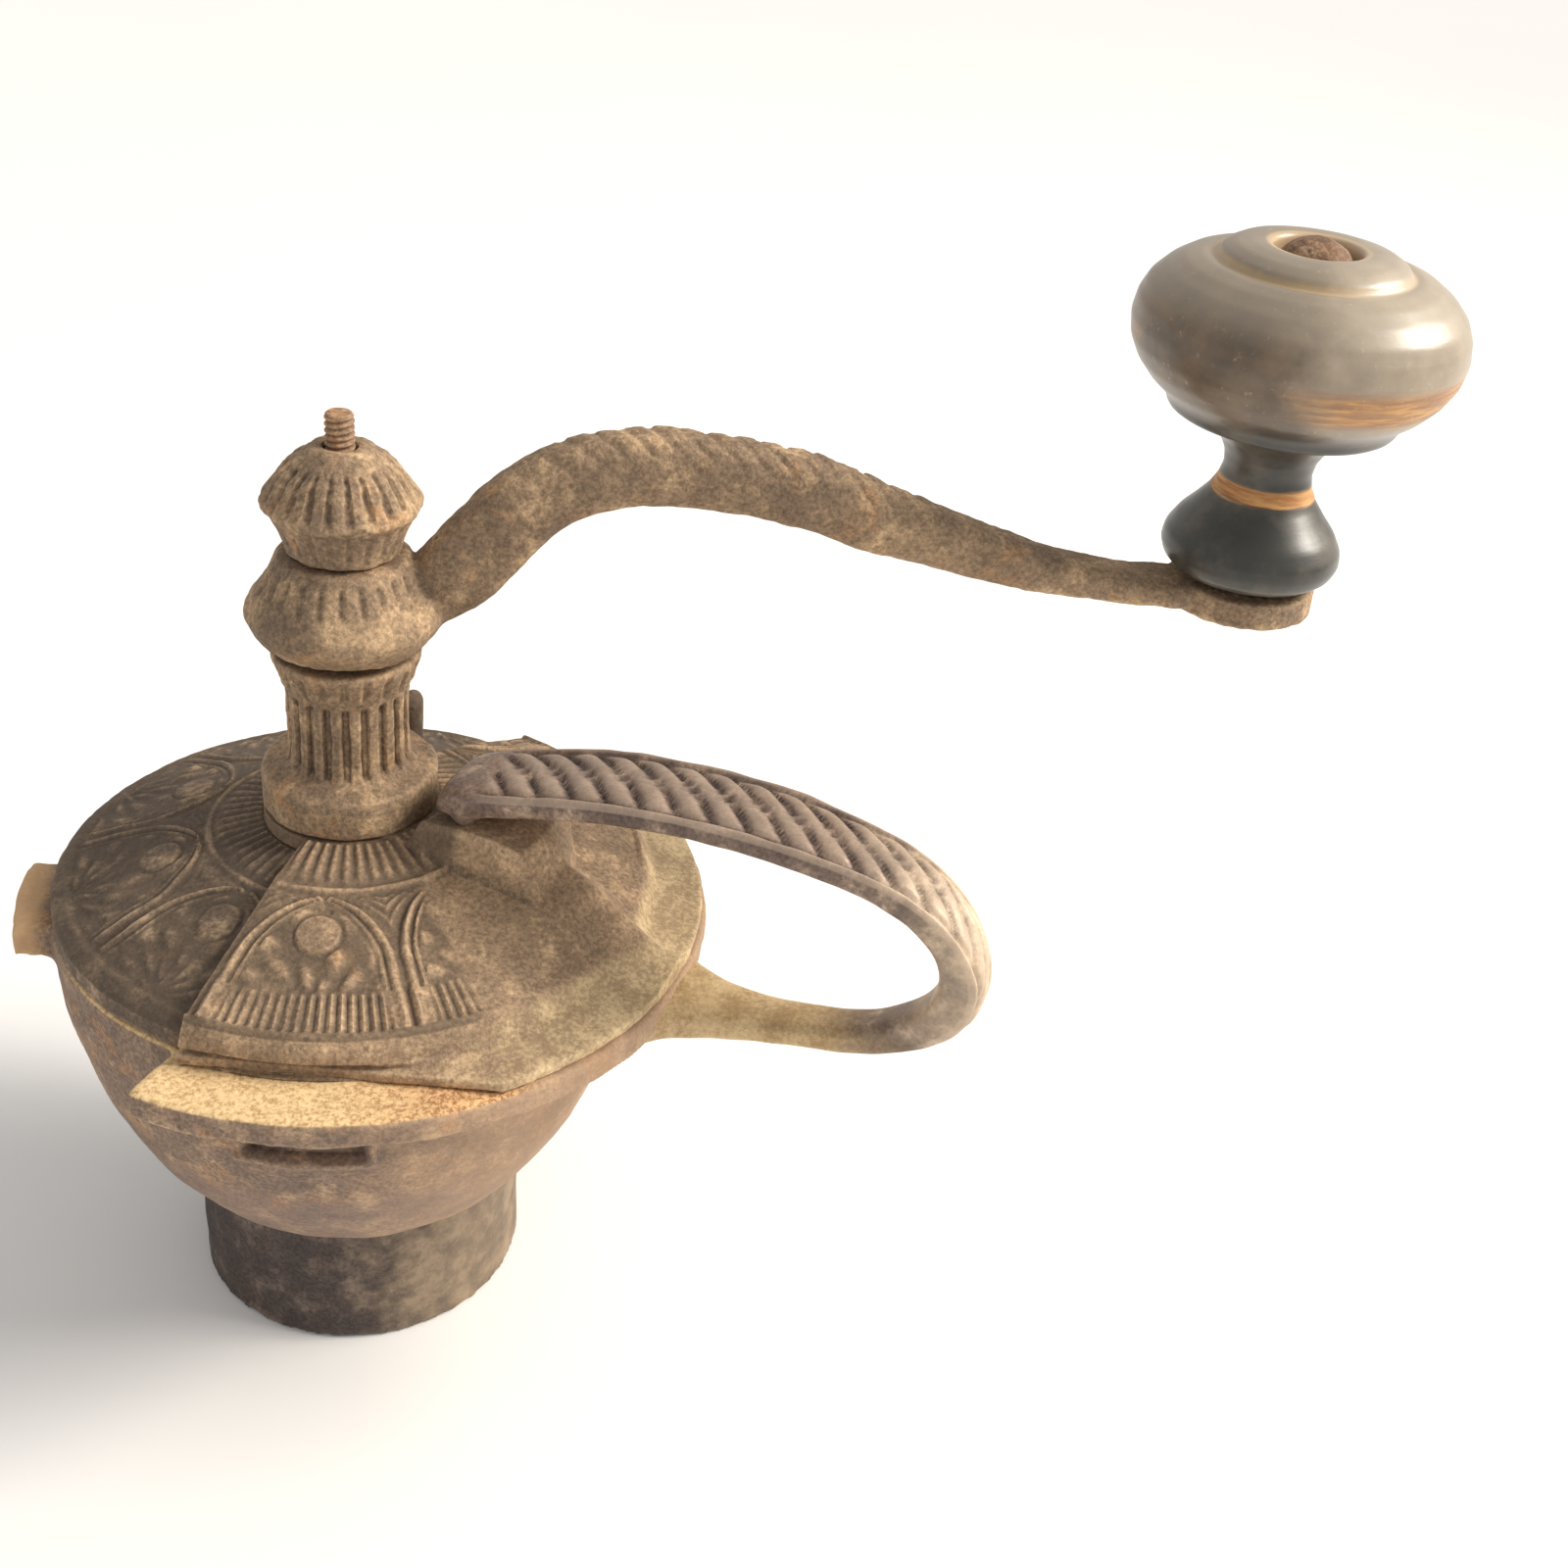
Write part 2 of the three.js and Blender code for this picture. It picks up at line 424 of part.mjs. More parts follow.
const counterboreZ = KNOB.top - KNOB.counterboreDepth;
const knobOutline = [
  [knobBore, knobBottom], [11.6, knobBottom], [14.4, 145.6], [KNOB.baseR, 148], [12.6, 152.6], [9, 157],
  [KNOB.neckR, 161], [8.4, 165], [12.4, 168], [19.2, 172.8], [24.2, 178], [KNOB.maxR, 185.4],
  [25.4, 191], [21.6, 195], [16, 196.6], [14.6, 197.8], [KNOB.counterboreR, KNOB.top],
  [KNOB.counterboreR, counterboreZ], [knobBore, counterboreZ], [knobBore, knobBottom]];
fit("knob", atKnob(turned(knobOutline)), paintedWood());

const boltHeadBottom = counterboreZ + GAP;
const boltHead = [[0, boltHeadBottom], [6, boltHeadBottom], [6, boltHeadBottom + 2.2], [4.6, KNOB.top], [2.4, KNOB.top + 1], [0, KNOB.top + 1.3]];
const knobBolt = turned(boltHead, 28)
  .add(disc(KNOB.boltR, CRANK.eyeBottom - 1, boltHeadBottom + 0.5))
  .add(turned([[0, 136], [4, 136], [5, 136.8], [5, CRANK.eyeBottom - GAP], [0, CRANK.eyeBottom - GAP]], 24));
fit("knob_bolt", atKnob(knobBolt), burntOrange());

// ---------------------------------------------------------------- origin at the middle of the footprint
const bounds = new THREE.Box3().setFromObject(mill);
const middle = bounds.getCenter(new THREE.Vector3());
mill.position.set(-middle.x, -middle.y, -bounds.min.z);
mill.updateMatrixWorld(true);

export default mill;
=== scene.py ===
import math

import bmesh
import bpy
from mathutils import Matrix, Vector, noise


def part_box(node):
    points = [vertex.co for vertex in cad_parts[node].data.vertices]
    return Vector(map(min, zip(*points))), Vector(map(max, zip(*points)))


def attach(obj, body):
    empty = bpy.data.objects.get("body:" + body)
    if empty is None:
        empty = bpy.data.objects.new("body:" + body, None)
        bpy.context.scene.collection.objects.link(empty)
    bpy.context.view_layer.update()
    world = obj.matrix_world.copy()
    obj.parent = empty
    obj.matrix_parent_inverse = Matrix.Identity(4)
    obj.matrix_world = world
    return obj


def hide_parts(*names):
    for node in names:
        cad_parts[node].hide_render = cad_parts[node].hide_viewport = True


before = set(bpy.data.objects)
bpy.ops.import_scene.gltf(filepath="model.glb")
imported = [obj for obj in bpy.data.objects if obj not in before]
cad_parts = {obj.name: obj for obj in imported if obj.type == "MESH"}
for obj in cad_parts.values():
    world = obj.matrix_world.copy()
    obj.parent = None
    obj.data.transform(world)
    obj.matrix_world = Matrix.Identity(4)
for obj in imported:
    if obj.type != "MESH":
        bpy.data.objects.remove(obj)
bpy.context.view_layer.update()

# Lengths in the sections below are millimetres round the spindle's axis, with the collar's
# bottom edge at height 0. seat() turns a finished mesh into metres in the frame.
MM = 0.001
_, bowl_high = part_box("hopper_bowl")
collar_low, collar_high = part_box("grinding_collar")
AXIS = Vector(((collar_low.x + collar_high.x) / 2, (collar_low.y + collar_high.y) / 2, collar_low.z))
RIM = (bowl_high.z - AXIS.z) / MM
COLLAR_R = (collar_high.x - collar_low.x) / 2 / MM
COLLAR_TOP = (collar_high.z - AXIS.z) / MM


# ------------------------------------------------------------ camera, floor and lights
# A hand-held view from above the front, a little to the right of the spindle and slightly rolled.
# The floor is a plain pale sweep and the lights are broad soft panels.
eye = AXIS + Vector((15.25, -286.6, 279.6)) * MM
yaw, pitch, roll = math.radians(-11.63), math.radians(31.44), math.radians(5.96)
ahead = Vector((-math.sin(yaw) * math.cos(pitch), math.cos(yaw) * math.cos(pitch), -math.sin(pitch)))
level = Vector((math.cos(yaw), math.sin(yaw), 0))
above = level.cross(ahead)
across = math.cos(roll) * level + math.sin(roll) * above
upward = math.cos(roll) * above - math.sin(roll) * level
lens = bpy.data.cameras.new("camera")
lens.lens, lens.sensor_width = 44.9, 36.0
lens.clip_start = 0.01
camera = bpy.data.objects.new("camera", lens)
camera.matrix_world = Matrix.Translation(eye) @ Matrix((across, upward, -ahead)).transposed().to_4x4()
bpy.context.scene.collection.objects.link(camera)
bpy.context.scene.camera = camera


class Shade:
    """One output of a material's nodes. Arithmetic on it adds Math nodes."""

    def __init__(self, tree, socket=None):
        self.tree = tree
        self.socket = socket

    def node(self, kind, settings=None, sockets=None, out=0):
        """Adds a node: its settings first, then the values or links of its sockets."""
        made = self.tree.nodes.new("ShaderNode" + kind)
        for name, value in (settings or {}).items():
            setattr(made, name, value)
        for name, value in (sockets or {}).items():
            if isinstance(value, Shade):
                self.tree.links.new(value.socket, made.inputs[name])
            else:
                made.inputs[name].default_value = value
        return Shade(self.tree, made.outputs[out]) if made.outputs else made

    def maths(self, operation, *values):
        return self.node("Math", {"operation": operation}, dict(enumerate(values)))

    def __add__(self, other):
        return self.maths("ADD", self, other)

    def __radd__(self, other):
        return self.maths("ADD", other, self)

    def __sub__(self, other):
        return self.maths("SUBTRACT", self, other)

    def __rsub__(self, other):
        return self.maths("SUBTRACT", other, self)

    def __mul__(self, other):
        return self.maths("MULTIPLY", self, other)

    def __rmul__(self, other):
        return self.maths("MULTIPLY", other, self)

    def __truediv__(self, other):
        return self.maths("DIVIDE", self, other)

    def __pow__(self, other):
        return self.maths("POWER", self, other)

    def eased(self, low, high):
        """0 below low, 1 above high, and smooth between them."""
        settings = {"interpolation_type": "SMOOTHSTEP"}
        return self.node("MapRange", settings, {"Value": self, "From Min": low, "From Max": high})

    def noise(self, place, scale, detail=4.0, rough=0.55):
        sockets = {"Vector": place, "Scale": scale, "Detail": detail, "Roughness": rough}
        return self.node("TexNoise", {}, sockets)

    def blend(self, share, first, second, kind="MIX"):
        sockets = {0: share, 6: first, 7: second}
        return self.node("Mix", {"data_type": "RGBA", "blend_type": kind}, sockets, out=2)


def new_material(name):
    material = bpy.data.materials.new(name)
    material.use_nodes = True
    material.node_tree.nodes.clear()
    return material, Shade(material.node_tree)


def surface(ink, sockets):
    """Ends a material with a principled shader."""
    shader = ink.node("BsdfPrincipled", {}, sockets)
    ink.node("OutputMaterial", {}, {"Surface": shader})


FLOOR_SIZE = 6.0
floor_material, ink = new_material("pale_sweep")
mottle = ink.noise(ink.node("TexCoord", out="Object"), 3.0)
pale = ink.blend(mottle, (0.86, 0.86, 0.86, 1), (0.9, 0.9, 0.9, 1))
surface(ink, {"Base Color": pale, "Roughness": 0.9})
made = bmesh.new()
bmesh.ops.create_grid(made, x_segments=2, y_segments=2, size=FLOOR_SIZE / 2)
bmesh.ops.translate(made, verts=made.verts, vec=(0, 0, AXIS.z - 0.0004))
floor_mesh = bpy.data.meshes.new("floor")
made.to_mesh(floor_mesh)
made.free()
floor = bpy.data.objects.new("floor", floor_mesh)
floor_mesh.materials.append(floor_material)
bpy.context.scene.collection.objects.link(floor)

room = bpy.data.worlds.new("room")
room.use_nodes = True
room.node_tree.nodes["Background"].inputs["Color"].default_value = (1.0, 0.98, 0.95, 1)
room.node_tree.nodes["Background"].inputs["Strength"].default_value = 0.62
bpy.context.scene.world = room


def panel_light(name, place, power, size, colour):
    light = bpy.data.lights.new(name, "AREA")
    light.energy, light.size, light.color = power, size, colour
    holder = bpy.data.objects.new(name, light)
    holder.location = AXIS + Vector(place)
    light_aim = AXIS + Vector((0.02, 0, 0.09)) - holder.location
    holder.rotation_euler = light_aim.to_track_quat("-Z", "Y").to_euler()
    bpy.context.scene.collection.objects.link(holder)


panel_light("window", (0.8, 0.05, 0.62), 5.0, 0.4, (1.0, 0.93, 0.82))
sky = bpy.data.lights.new("sky", "SUN")
sky.energy, sky.angle, sky.color = 2.5, math.radians(22), (1.0, 0.94, 0.85)
sky_holder = bpy.data.objects.new("sky", sky)
sky_holder.rotation_euler = Vector((0.8, -0.12, 0.66)).to_track_quat("Z", "Y").to_euler()
bpy.context.scene.collection.objects.link(sky_holder)
bpy.context.scene.view_settings.view_transform = "Standard"


# ------------------------------------------------------------ hopper bowl
# A thin grey-iron casting: the bowl, its front flange and left ear came out of one sand mould, so
# every corner is soft. It has rusted to a sandy tan, and the flange's bare top is bright orange with a
# painted highlight; the bowl's right side is made paler with painted light.
BOWL = {"foot_r": 33.0, "foot_z": 28.3, "rim_r": 50.0, "wall": 4.0, "floor": 4.4, "throat_r": 20.6}
FLANGE = {"r": 61.5, "thick": 4.8, "under": 2.6, "start": -121.0, "end": 40.0}
EAR = {"r": 56.0, "start": 170.0, "end": 192.0}
POCKET = {"start": -110.0, "end": -86.0, "low": 59.6, "high": 64.6, "depth": 2.0}


def polar(co):
    return math.hypot(co.x, co.y), math.degrees(math.atan2(co.y, co.x))


def smooth(low, high, value):
    share = min(1.0, max(0.0, (value - low) / (high - low)))
    return share * share * (3 - 2 * share)


def bump(width, distance):
    """A rounded ridge: 1 at no distance, fading to 0 at the width."""
    return max(0.0, 1 - (distance / width) ** 2) ** 2


def walked(points, spacing, passes):
    """Goes along an outline at an even spacing, and eases its corners by that many passes."""
    line = []
    for (r0, z0), (r1, z1) in zip(points, points[1:]):
        count = max(1, round(math.hypot(r1 - r0, z1 - z0) / spacing))
        line += [(r0 + (r1 - r0) * i / count, z0 + (z1 - z0) * i / count) for i in range(count)]
    line.append(points[-1])
    for _ in range(passes):
        threes = zip(line, line[1:], line[2:])
        inner = [tuple((a + 2 * b + c) / 4 for a, b, c in zip(*three)) for three in threes]
        line = [line[0], *inner, line[-1]]
    return line


def spun(line, start=-180.0, end=180.0, each=1.0, closed=True):
    """Spins (radius, height) points about the spindle. A part turn gets flat ends."""
    made = bmesh.new()
    first = math.radians(start)
    corners = [made.verts.new((r * math.cos(first), r * math.sin(first), z)) for r, z in line]
    pairs = list(zip(corners, corners[1:]))
    if closed:
        pairs.append((corners[-1], corners[0]))
    edges = [made.edges.new(pair) for pair in pairs]
    whole = end - start >= 360
    if closed and not whole:
        made.faces.new(corners)
    steps = max(3, round((end - start) / each))
    turned = bmesh.ops.spin(
        made, geom=corners + edges, cent=(0, 0, 0), axis=(0, 0, 1), dvec=(0, 0, 0),
        angle=math.radians(end - start), steps=steps, use_merge=whole, use_duplicate=False)
    if closed and not whole:
        last = [item for item in turned["geom_last"] if isinstance(item, bmesh.types.BMEdge)]
        bmesh.ops.contextual_create(made, geom=last)
    bmesh.ops.remove_doubles(made, verts=made.verts, dist=0.002)
    bmesh.ops.recalc_face_normals(made, faces=made.faces)
    return made


def merged(*parts):
    """One bmesh from several."""
    whole = bmesh.new()
    for part in parts:
        passing = bpy.data.meshes.new("passing")
        part.to_mesh(passing)
        part.free()
        whole.from_mesh(passing)
        bpy.data.meshes.remove(passing)
    return whole


def cast(made, grain, passes=2):
    """Fuses overlapping shapes into one skin with soft inner corners, as a sand casting has."""
    rough = bpy.data.meshes.new("rough")
    made.to_mesh(rough)
    made.free()
    holder = bpy.data.objects.new("rough", rough)
    bpy.context.scene.collection.objects.link(holder)
    fuse = holder.modifiers.new("fuse", "REMESH")
    fuse.mode = "VOXEL"
    fuse.voxel_size = grain
    fuse.adaptivity = 0
    graph = bpy.context.evaluated_depsgraph_get()
    fused = bpy.data.meshes.new_from_object(holder.evaluated_get(graph))
    skin = bmesh.new()
    skin.from_mesh(fused)
    for _ in range(passes):
        bmesh.ops.smooth_vert(skin, verts=skin.verts, factor=0.5, use_axis_x=True, use_axis_y=True,
                              use_axis_z=True)
    bpy.data.objects.remove(holder)
    bpy.data.meshes.remove(rough)
    bpy.data.meshes.remove(fused)
    return skin


def wavy(made, reach, size, seed):
    """Moves every point a little along its normal, as a cast skin is never quite true."""
    made.normal_update()
    for corner in made.verts:
        where = corner.co / size + Vector((seed, 0, 0))
        corner.co += corner.normal * reach * noise.noise(where)


def seat(made, name, material, body, replaced=(), centre=(0, 0), angle=40):
    """Makes the finished piece: smooth-shaded, in metres, in its place in the frame."""
    bmesh.ops.scale(made, vec=(MM, MM, MM), verts=made.verts)
    bmesh.ops.translate(made, vec=AXIS + Vector((*centre, 0)) * MM, verts=made.verts)
    mesh = bpy.data.meshes.new(name)
    made.to_mesh(mesh)
    made.free()
    mesh.materials.append(material)
    mesh.shade_smooth()
    mesh.set_sharp_from_angle(angle=math.radians(angle))
    piece = bpy.data.objects.new(name, mesh)
    bpy.context.scene.collection.objects.link(piece)
    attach(piece, body)
    if replaced:
        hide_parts(*replaced)
    return piece


def rusted(name, pale_tone, mid_tone, deep_tone, rust_tone, rust_share=0.5, relief=0.5, lit=None, polish=0.0):
    """Old cast iron: mottled rust tones, grains of scale, pits, paler sharp edges and darker creases."""
    material, ink = new_material(name)
    place = ink.node("TexCoord", out="Object")
    broad = ink.noise(place, 38, 5, 0.6)
    cloudy = ink.noise(place, 150, 6, 0.68)
    grains = ink.noise(place, 1300, 3, 0.7)
    sand = ink.node("TexVoronoi", {}, {"Vector": place, "Scale": 1900})
    pits = ink.node("TexVoronoi", {}, {"Vector": place, "Scale": 420, "Randomness": 1.0})
    pitted = (1 - pits.eased(0.05, 0.3)) * cloudy.eased(0.42, 0.62)
    base = ink.blend((broad * 0.6 + cloudy * 0.4).eased(0.36, 0.64), deep_tone, mid_tone)
    base = ink.blend(cloudy.eased(0.5, 0.72), base, pale_tone)
    flow = ink.noise(place, 95, 7, 0.75)
    base = ink.blend(flow.eased(0.66 - rust_share * 0.3, 0.8 - rust_share * 0.3) * 0.75, base, rust_tone)
    edge = ink.node("NewGeometry", out="Pointiness")
    # Sharp edges are made paler and creases darker.
    base = ink.blend((edge.eased(0.5, 0.56)) * 0.4, base, pale_tone)
    base = ink.blend((1 - edge.eased(0.44, 0.497)) * 0.75, base,
                     tuple(0.45 * c for c in deep_tone[:3]) + (1,))
    speck = ink.blend(grains.eased(0.32, 0.7), (0.62, 0.6, 0.58, 1), (1.32, 1.3, 1.26, 1))
    base = ink.blend(0.85, base, speck, "MULTIPLY")
    base = ink.blend(pitted * 0.6, base, tuple(0.35 * c for c in deep_tone[:3]) + (1,))
    if lit:
        base = lit(ink, place, base, grains, cloudy)
    height = grains * 0.5 + sand * 0.25 + cloudy * 0.7 - pitted * 0.6
    normal = ink.node("Bump", {}, {"Strength": relief, "Distance": 0.00035, "Height": height})
    rough = 0.62 - polish + 0.3 * cloudy
    surface(ink, {"Base Color": base, "Roughness": rough, "Metallic": 0.12, "Normal": normal,
                  "Specular IOR Level": 0.35})
    return material


def bowl_tones(ink, place, base, grains, cloudy):
    """The flange's up-facing top is bright orange rust with a painted highlight, the bowl's skin has a pale
    band and a grey band, and its right side is made paler with painted light.
    """
    axes = ink.node("SeparateXYZ", {}, {"Vector": place}, out="Z")
    faces = ink.node("NewGeometry", out="Normal")
    up = ink.node("SeparateXYZ", {}, {"Vector": faces}, out="Z")
    front = (AXIS.y - ink.node("SeparateXYZ", {}, {"Vector": place}, out="Y")).eased(0.015, 0.03)
    # The flange's up-facing top: bare orange rust with a painted highlight.
    ledge = up.eased(0.45, 0.8) * axes.eased(AXIS.z + 0.074, AXIS.z + 0.077) * front
    sideways = ink.node("SeparateXYZ", {}, {"Vector": place}, out="X")
    ledge = ledge * (1 - sideways.eased(AXIS.x + 0.024, AXIS.x + 0.032))
    orange = (sideways + cloudy * 0.02).eased(AXIS.x + 0.005, AXIS.x + 0.03)
    speckled = ink.blend(grains.eased(0.4, 0.6), (0.33, 0.13, 0.045, 1), (0.85, 0.5, 0.24, 1))
    sandy = ink.blend(grains.eased(0.28, 0.62), (0.5, 0.3, 0.13, 1), (0.92, 0.68, 0.37, 1))
    bright = ink.blend(orange * 0.8, sandy, speckled)
    base = ink.blend(ledge * 0.92, base, bright)
    grey = (cloudy * 0.012 + axes).eased(AXIS.z + 0.058, AXIS.z + 0.05) * 0.35
    base = ink.blend(grey, base, (0.3, 0.215, 0.18, 1))
    # Painted light: the bowl's right side is made paler and warmer.
    right = (sideways + cloudy * 0.04).eased(AXIS.x + 0.01, AXIS.x + 0.05) * (1 - ledge) * 0.5
    base = ink.blend(right, base, (0.56, 0.37, 0.23, 1))
    on_ear = (AXIS.x - sideways).eased(0.0495, 0.0525) * axes.eased(AXIS.z + 0.07, AXIS.z + 0.074)
    return ink.blend(on_ear * 0.7, base, (0.66, 0.42, 0.22, 1))


bowl_iron = rusted("sandy_rusted_iron", (0.5, 0.36, 0.24, 1), (0.36, 0.25, 0.175, 1), (0.2, 0.145, 0.115, 1),
                   (0.42, 0.23, 0.11, 1), 0.45, 0.45, bowl_tones)

drop = (RIM - BOWL["foot_z"]) / math.sqrt(1 - (BOWL["foot_r"] / BOWL["rim_r"]) ** 2)


def bowl_r(z):
    return BOWL["rim_r"] * math.sqrt(1 - ((RIM - z) / drop) ** 2)


outside = [(bowl_r(z), z) for z in (BOWL["foot_z"] + (RIM - BOWL["foot_z"]) * i / 40 for i in range(41))]
floor_z = BOWL["foot_z"] + BOWL["floor"]
inside = [(bowl_r(z) - BOWL["wall"], z) for z in (RIM - (RIM - floor_z) * i / 30 for i in range(31))]
throat = [(BOWL["throat_r"], floor_z - 1.5), (BOWL["throat_r"], BOWL["foot_z"]), outside[0]]
bowl_line = walked([*outside, *inside, *throat], 0.9, 0)[:-1]


def shelf(outer, start, end):
    root = BOWL["rim_r"] - BOWL["wall"] / 2
    under = RIM - FLANGE["thick"]
    outline = [(root, under - FLANGE["under"]), (outer, under), (outer, RIM), (root, RIM),
               (root, under - FLANGE["under"])]
    return spun(walked(outline, 1.0, 0)[:-1], start, end, 1.5)


bowl = cast(merged(spun(bowl_line, each=1.2), shelf(FLANGE["r"], FLANGE["start"], FLANGE["end"]),
                   shelf(EAR["r"], EAR["start"], EAR["end"])), 0.72, 3)
POCKET_FRAME = 1.3  # width of the raised edge left round the pocket
for corner in bowl.verts:
    r, az = polar(corner.co)
    if r < bowl_r(max(BOWL["foot_z"], min(RIM, corner.co.z))) - BOWL["wall"] / 2:
        continue
    turn_share = min(az - POCKET["start"], POCKET["end"] - az) * math.radians(1) * r
    rise_share = min(corner.co.z - POCKET["low"], POCKET["high"] - corner.co.z)
    depth = min(turn_share, rise_share)
    sunk = smooth(-0.1, 0.6, depth) * POCKET["depth"] * (1 if r > BOWL["foot_r"] else 0)
    ridge = bump(POCKET_FRAME, depth + 0.9) * 0.8 * (az > POCKET["start"] + 4 or corner.co.z < POCKET["low"])
    scale = (r - sunk + ridge) / max(r, 1)
    corner.co.x *= scale
    corner.co.y *= scale
wavy(bowl, 0.35, 9, 3)
wavy(bowl, 0.12, 2.4, 8)
seat(bowl, "bowl_casting", bowl_iron, "mill_head", ["hopper_bowl"], angle=60)


# ------------------------------------------------------------ grinding collar
# A plain turned iron ring under the bowl that carries the mill. It is almost black where it sat in
# the box, and its right side is made a lighter tan, which is painted light.


def collar_tones(ink, place, base, grains, cloudy):
    """The dark ring is made a lighter tan on its right side, along a ragged edge: painted light."""
    sideways = ink.node("SeparateXYZ", {}, {"Vector": place}, out="X")
    # Painted light: tan on the right side, where the light falls.
    lit_side = (sideways + cloudy * 0.03).eased(AXIS.x + 0.012, AXIS.x + 0.03)
    tan = ink.blend(cloudy.eased(0.35, 0.65), (0.2, 0.15, 0.105, 1), (0.36, 0.27, 0.18, 1))
    return ink.blend(lit_side * 0.85, base, tan)


collar_iron = rusted("dark_collar_iron", (0.19, 0.15, 0.125, 1), (0.12, 0.09, 0.078, 1),
                     (0.06, 0.047, 0.044, 1),
                     (0.2, 0.13, 0.08, 1), 0.2, 0.35, collar_tones)
COLLAR_WALL = 4.2
COLLAR_SIDES = 200
collar_line = [(COLLAR_R - COLLAR_WALL, 0), (COLLAR_R, 0), (COLLAR_R, COLLAR_TOP),
               (COLLAR_R - COLLAR_WALL, COLLAR_TOP), (COLLAR_R - COLLAR_WALL, 0)]
collar = spun(walked(collar_line, 0.8, 0)[:-1], each=360 / COLLAR_SIDES)
LUG = {"width": 11.0, "low": 6.4, "high": 12.4, "reach": 6.5}
for side in (1, -1):
    lug = bmesh.ops.create_cube(collar, size=1)["verts"]
    bmesh.ops.scale(collar, vec=(LUG["width"], LUG["reach"], LUG["high"] - LUG["low"]), verts=lug)
    reach = COLLAR_R - COLLAR_WALL - LUG["reach"] / 2 + 1
    bmesh.ops.translate(collar, vec=(0, side * reach, (LUG["low"] + LUG["high"]) / 2), verts=lug)
collar = cast(collar, 0.6, 1)
wavy(collar, 0.25, 7, 5)
seat(collar, "collar_ring", collar_iron, "mill_head", ["grinding_collar"], angle=60)


# ------------------------------------------------------------ half dome cover
# A casting with raised ornament: flutes round the column, a row of arches holding a boss and
# leaves, and a fringe of fine ribs over the foot line. Its skirt widens into a brim at the right,
# and a smooth hip rises under the handle.
COVER = {"start": -118.0, "end": 52.0, "foot_r": 50.2, "foot_z": 86.6, "top_z": 98.5, "thick": 2.8,
         "hub_r": 14.4}
BRIM = {"r": 60.6, "thick": 2.9, "chord": 51.26, "chord_tilt": 0.179, "end": 38.0}
HIP = {"angle": -27.0, "near": 0.31, "far": 0.85, "flat": 8.6, "blend": 1.6}
ARCH = {"period": 40.0, "top_r": 26.0, "foot_r": 49.5, "boss_r": 31.0}


def dome_z(r):
    share = min(1.0, max(0.0, (r - COVER["hub_r"]) / (COVER["foot_r"] - COVER["hub_r"])))
    return COVER["foot_z"] + (COVER["top_z"] - COVER["foot_z"]) * (1 - share ** 1.25)


def ornament(r, az, centre, fringe_from=42.5):
    """Height of the raised ornament at a place on the dome, with an arch centred at that angle."""
    worn = 0.75 + 0.5 * noise.noise(Vector((r * 0.12, az * 0.05, 4)))
    flutes = smooth(24.2, 21.5, r) * (0.5 + 0.5 * math.cos(math.radians(az) * 60)) * 0.55
    band = bump(0.9, r - 24.6) * 0.5
    offset = (az - centre + ARCH["period"] / 2) % ARCH["period"] - ARCH["period"] / 2
    aside = abs(offset) / (ARCH["period"] / 2) * 0.98
    down = (r - ARCH["top_r"]) / (ARCH["foot_r"] - ARCH["top_r"])
    if not 0 < down < 1:
        return (flutes + band) * worn
    arch_side = math.sqrt(1 - (1 - down / 0.5) ** 2) * 0.93 if down < 0.5 else 0.93
    from_arch = (arch_side - aside) * (ARCH["period"] / 2) * math.radians(1) * r
    arch = bump(1.0, from_arch - 0.6) * 0.75 + bump(0.6, from_arch - 2.2) * 0.4
    within = smooth(2.4, 3.4, from_arch)
    sideways = math.radians(offset) * r
    boss = smooth(3.9, 3.2, math.hypot(sideways, r - ARCH["boss_r"] - 2)) * 0.6
    spread = math.hypot(sideways, 48 - r)
    fan = math.degrees(math.atan2(sideways, 48 - r))
    fanned = 0.5 + 0.5 * math.cos(math.radians(fan * 15 + spread * 9))
    leaf = fanned * (0.6 + 0.4 * math.sin(spread * 1.1 + fan * 0.1))
    leaves = leaf * smooth(3.6, 4.6, math.hypot(sideways, r - ARCH["boss_r"] - 2)) * 0.65
    ribs = smooth(fringe_from, fringe_from + 1.2, r) * (0.5 + 0.5 * math.cos(math.radians(az) * 180)) * 0.42
    leaves *= smooth(fringe_from + 1.5, fringe_from - 1, r)
    rippled = 0.5 + 0.5 * math.cos(from_arch * 3.1)
    spandrel = smooth(-1.2, -2.4, from_arch) * rippled * 0.3 * smooth(44, 40, r)
    return (flutes + band + arch + within * max(boss, leaves) + ribs + spandrel) * worn


def hip_height(r, az):
    """The smooth ridge under the handle: its crest falls from the handle's root to the brim."""
    if math.cos(math.radians(az - HIP["angle"])) < 0.3:
        return -1.0
    aside = r * math.sin(math.radians(az - HIP["angle"]))
    crest = 98.8 - 2.6 * smooth(28, 44, r) - 12.2 * smooth(38, 61, r)
    wall = smooth(HIP["flat"] + 1.2, HIP["flat"], abs(aside))
    plateau = 4.9 * smooth(17, 20, r) * smooth(40, 36, r) * wall
    fall = HIP["far"] * aside if aside > 0 else -HIP["near"] * aside
    return crest + plateau - fall * (1 - smooth(40, 36, r) * wall)


def brim_r(az):
    """The brim is cut along a straight chord at the front, which leaves the flange's ledge bare."""
    turn = math.radians(az)
    reach = -math.sin(turn) - BRIM["chord_tilt"] * math.cos(turn)
    return min(BRIM["r"], BRIM["chord"] / reach) if reach > 0.1 else BRIM["r"]


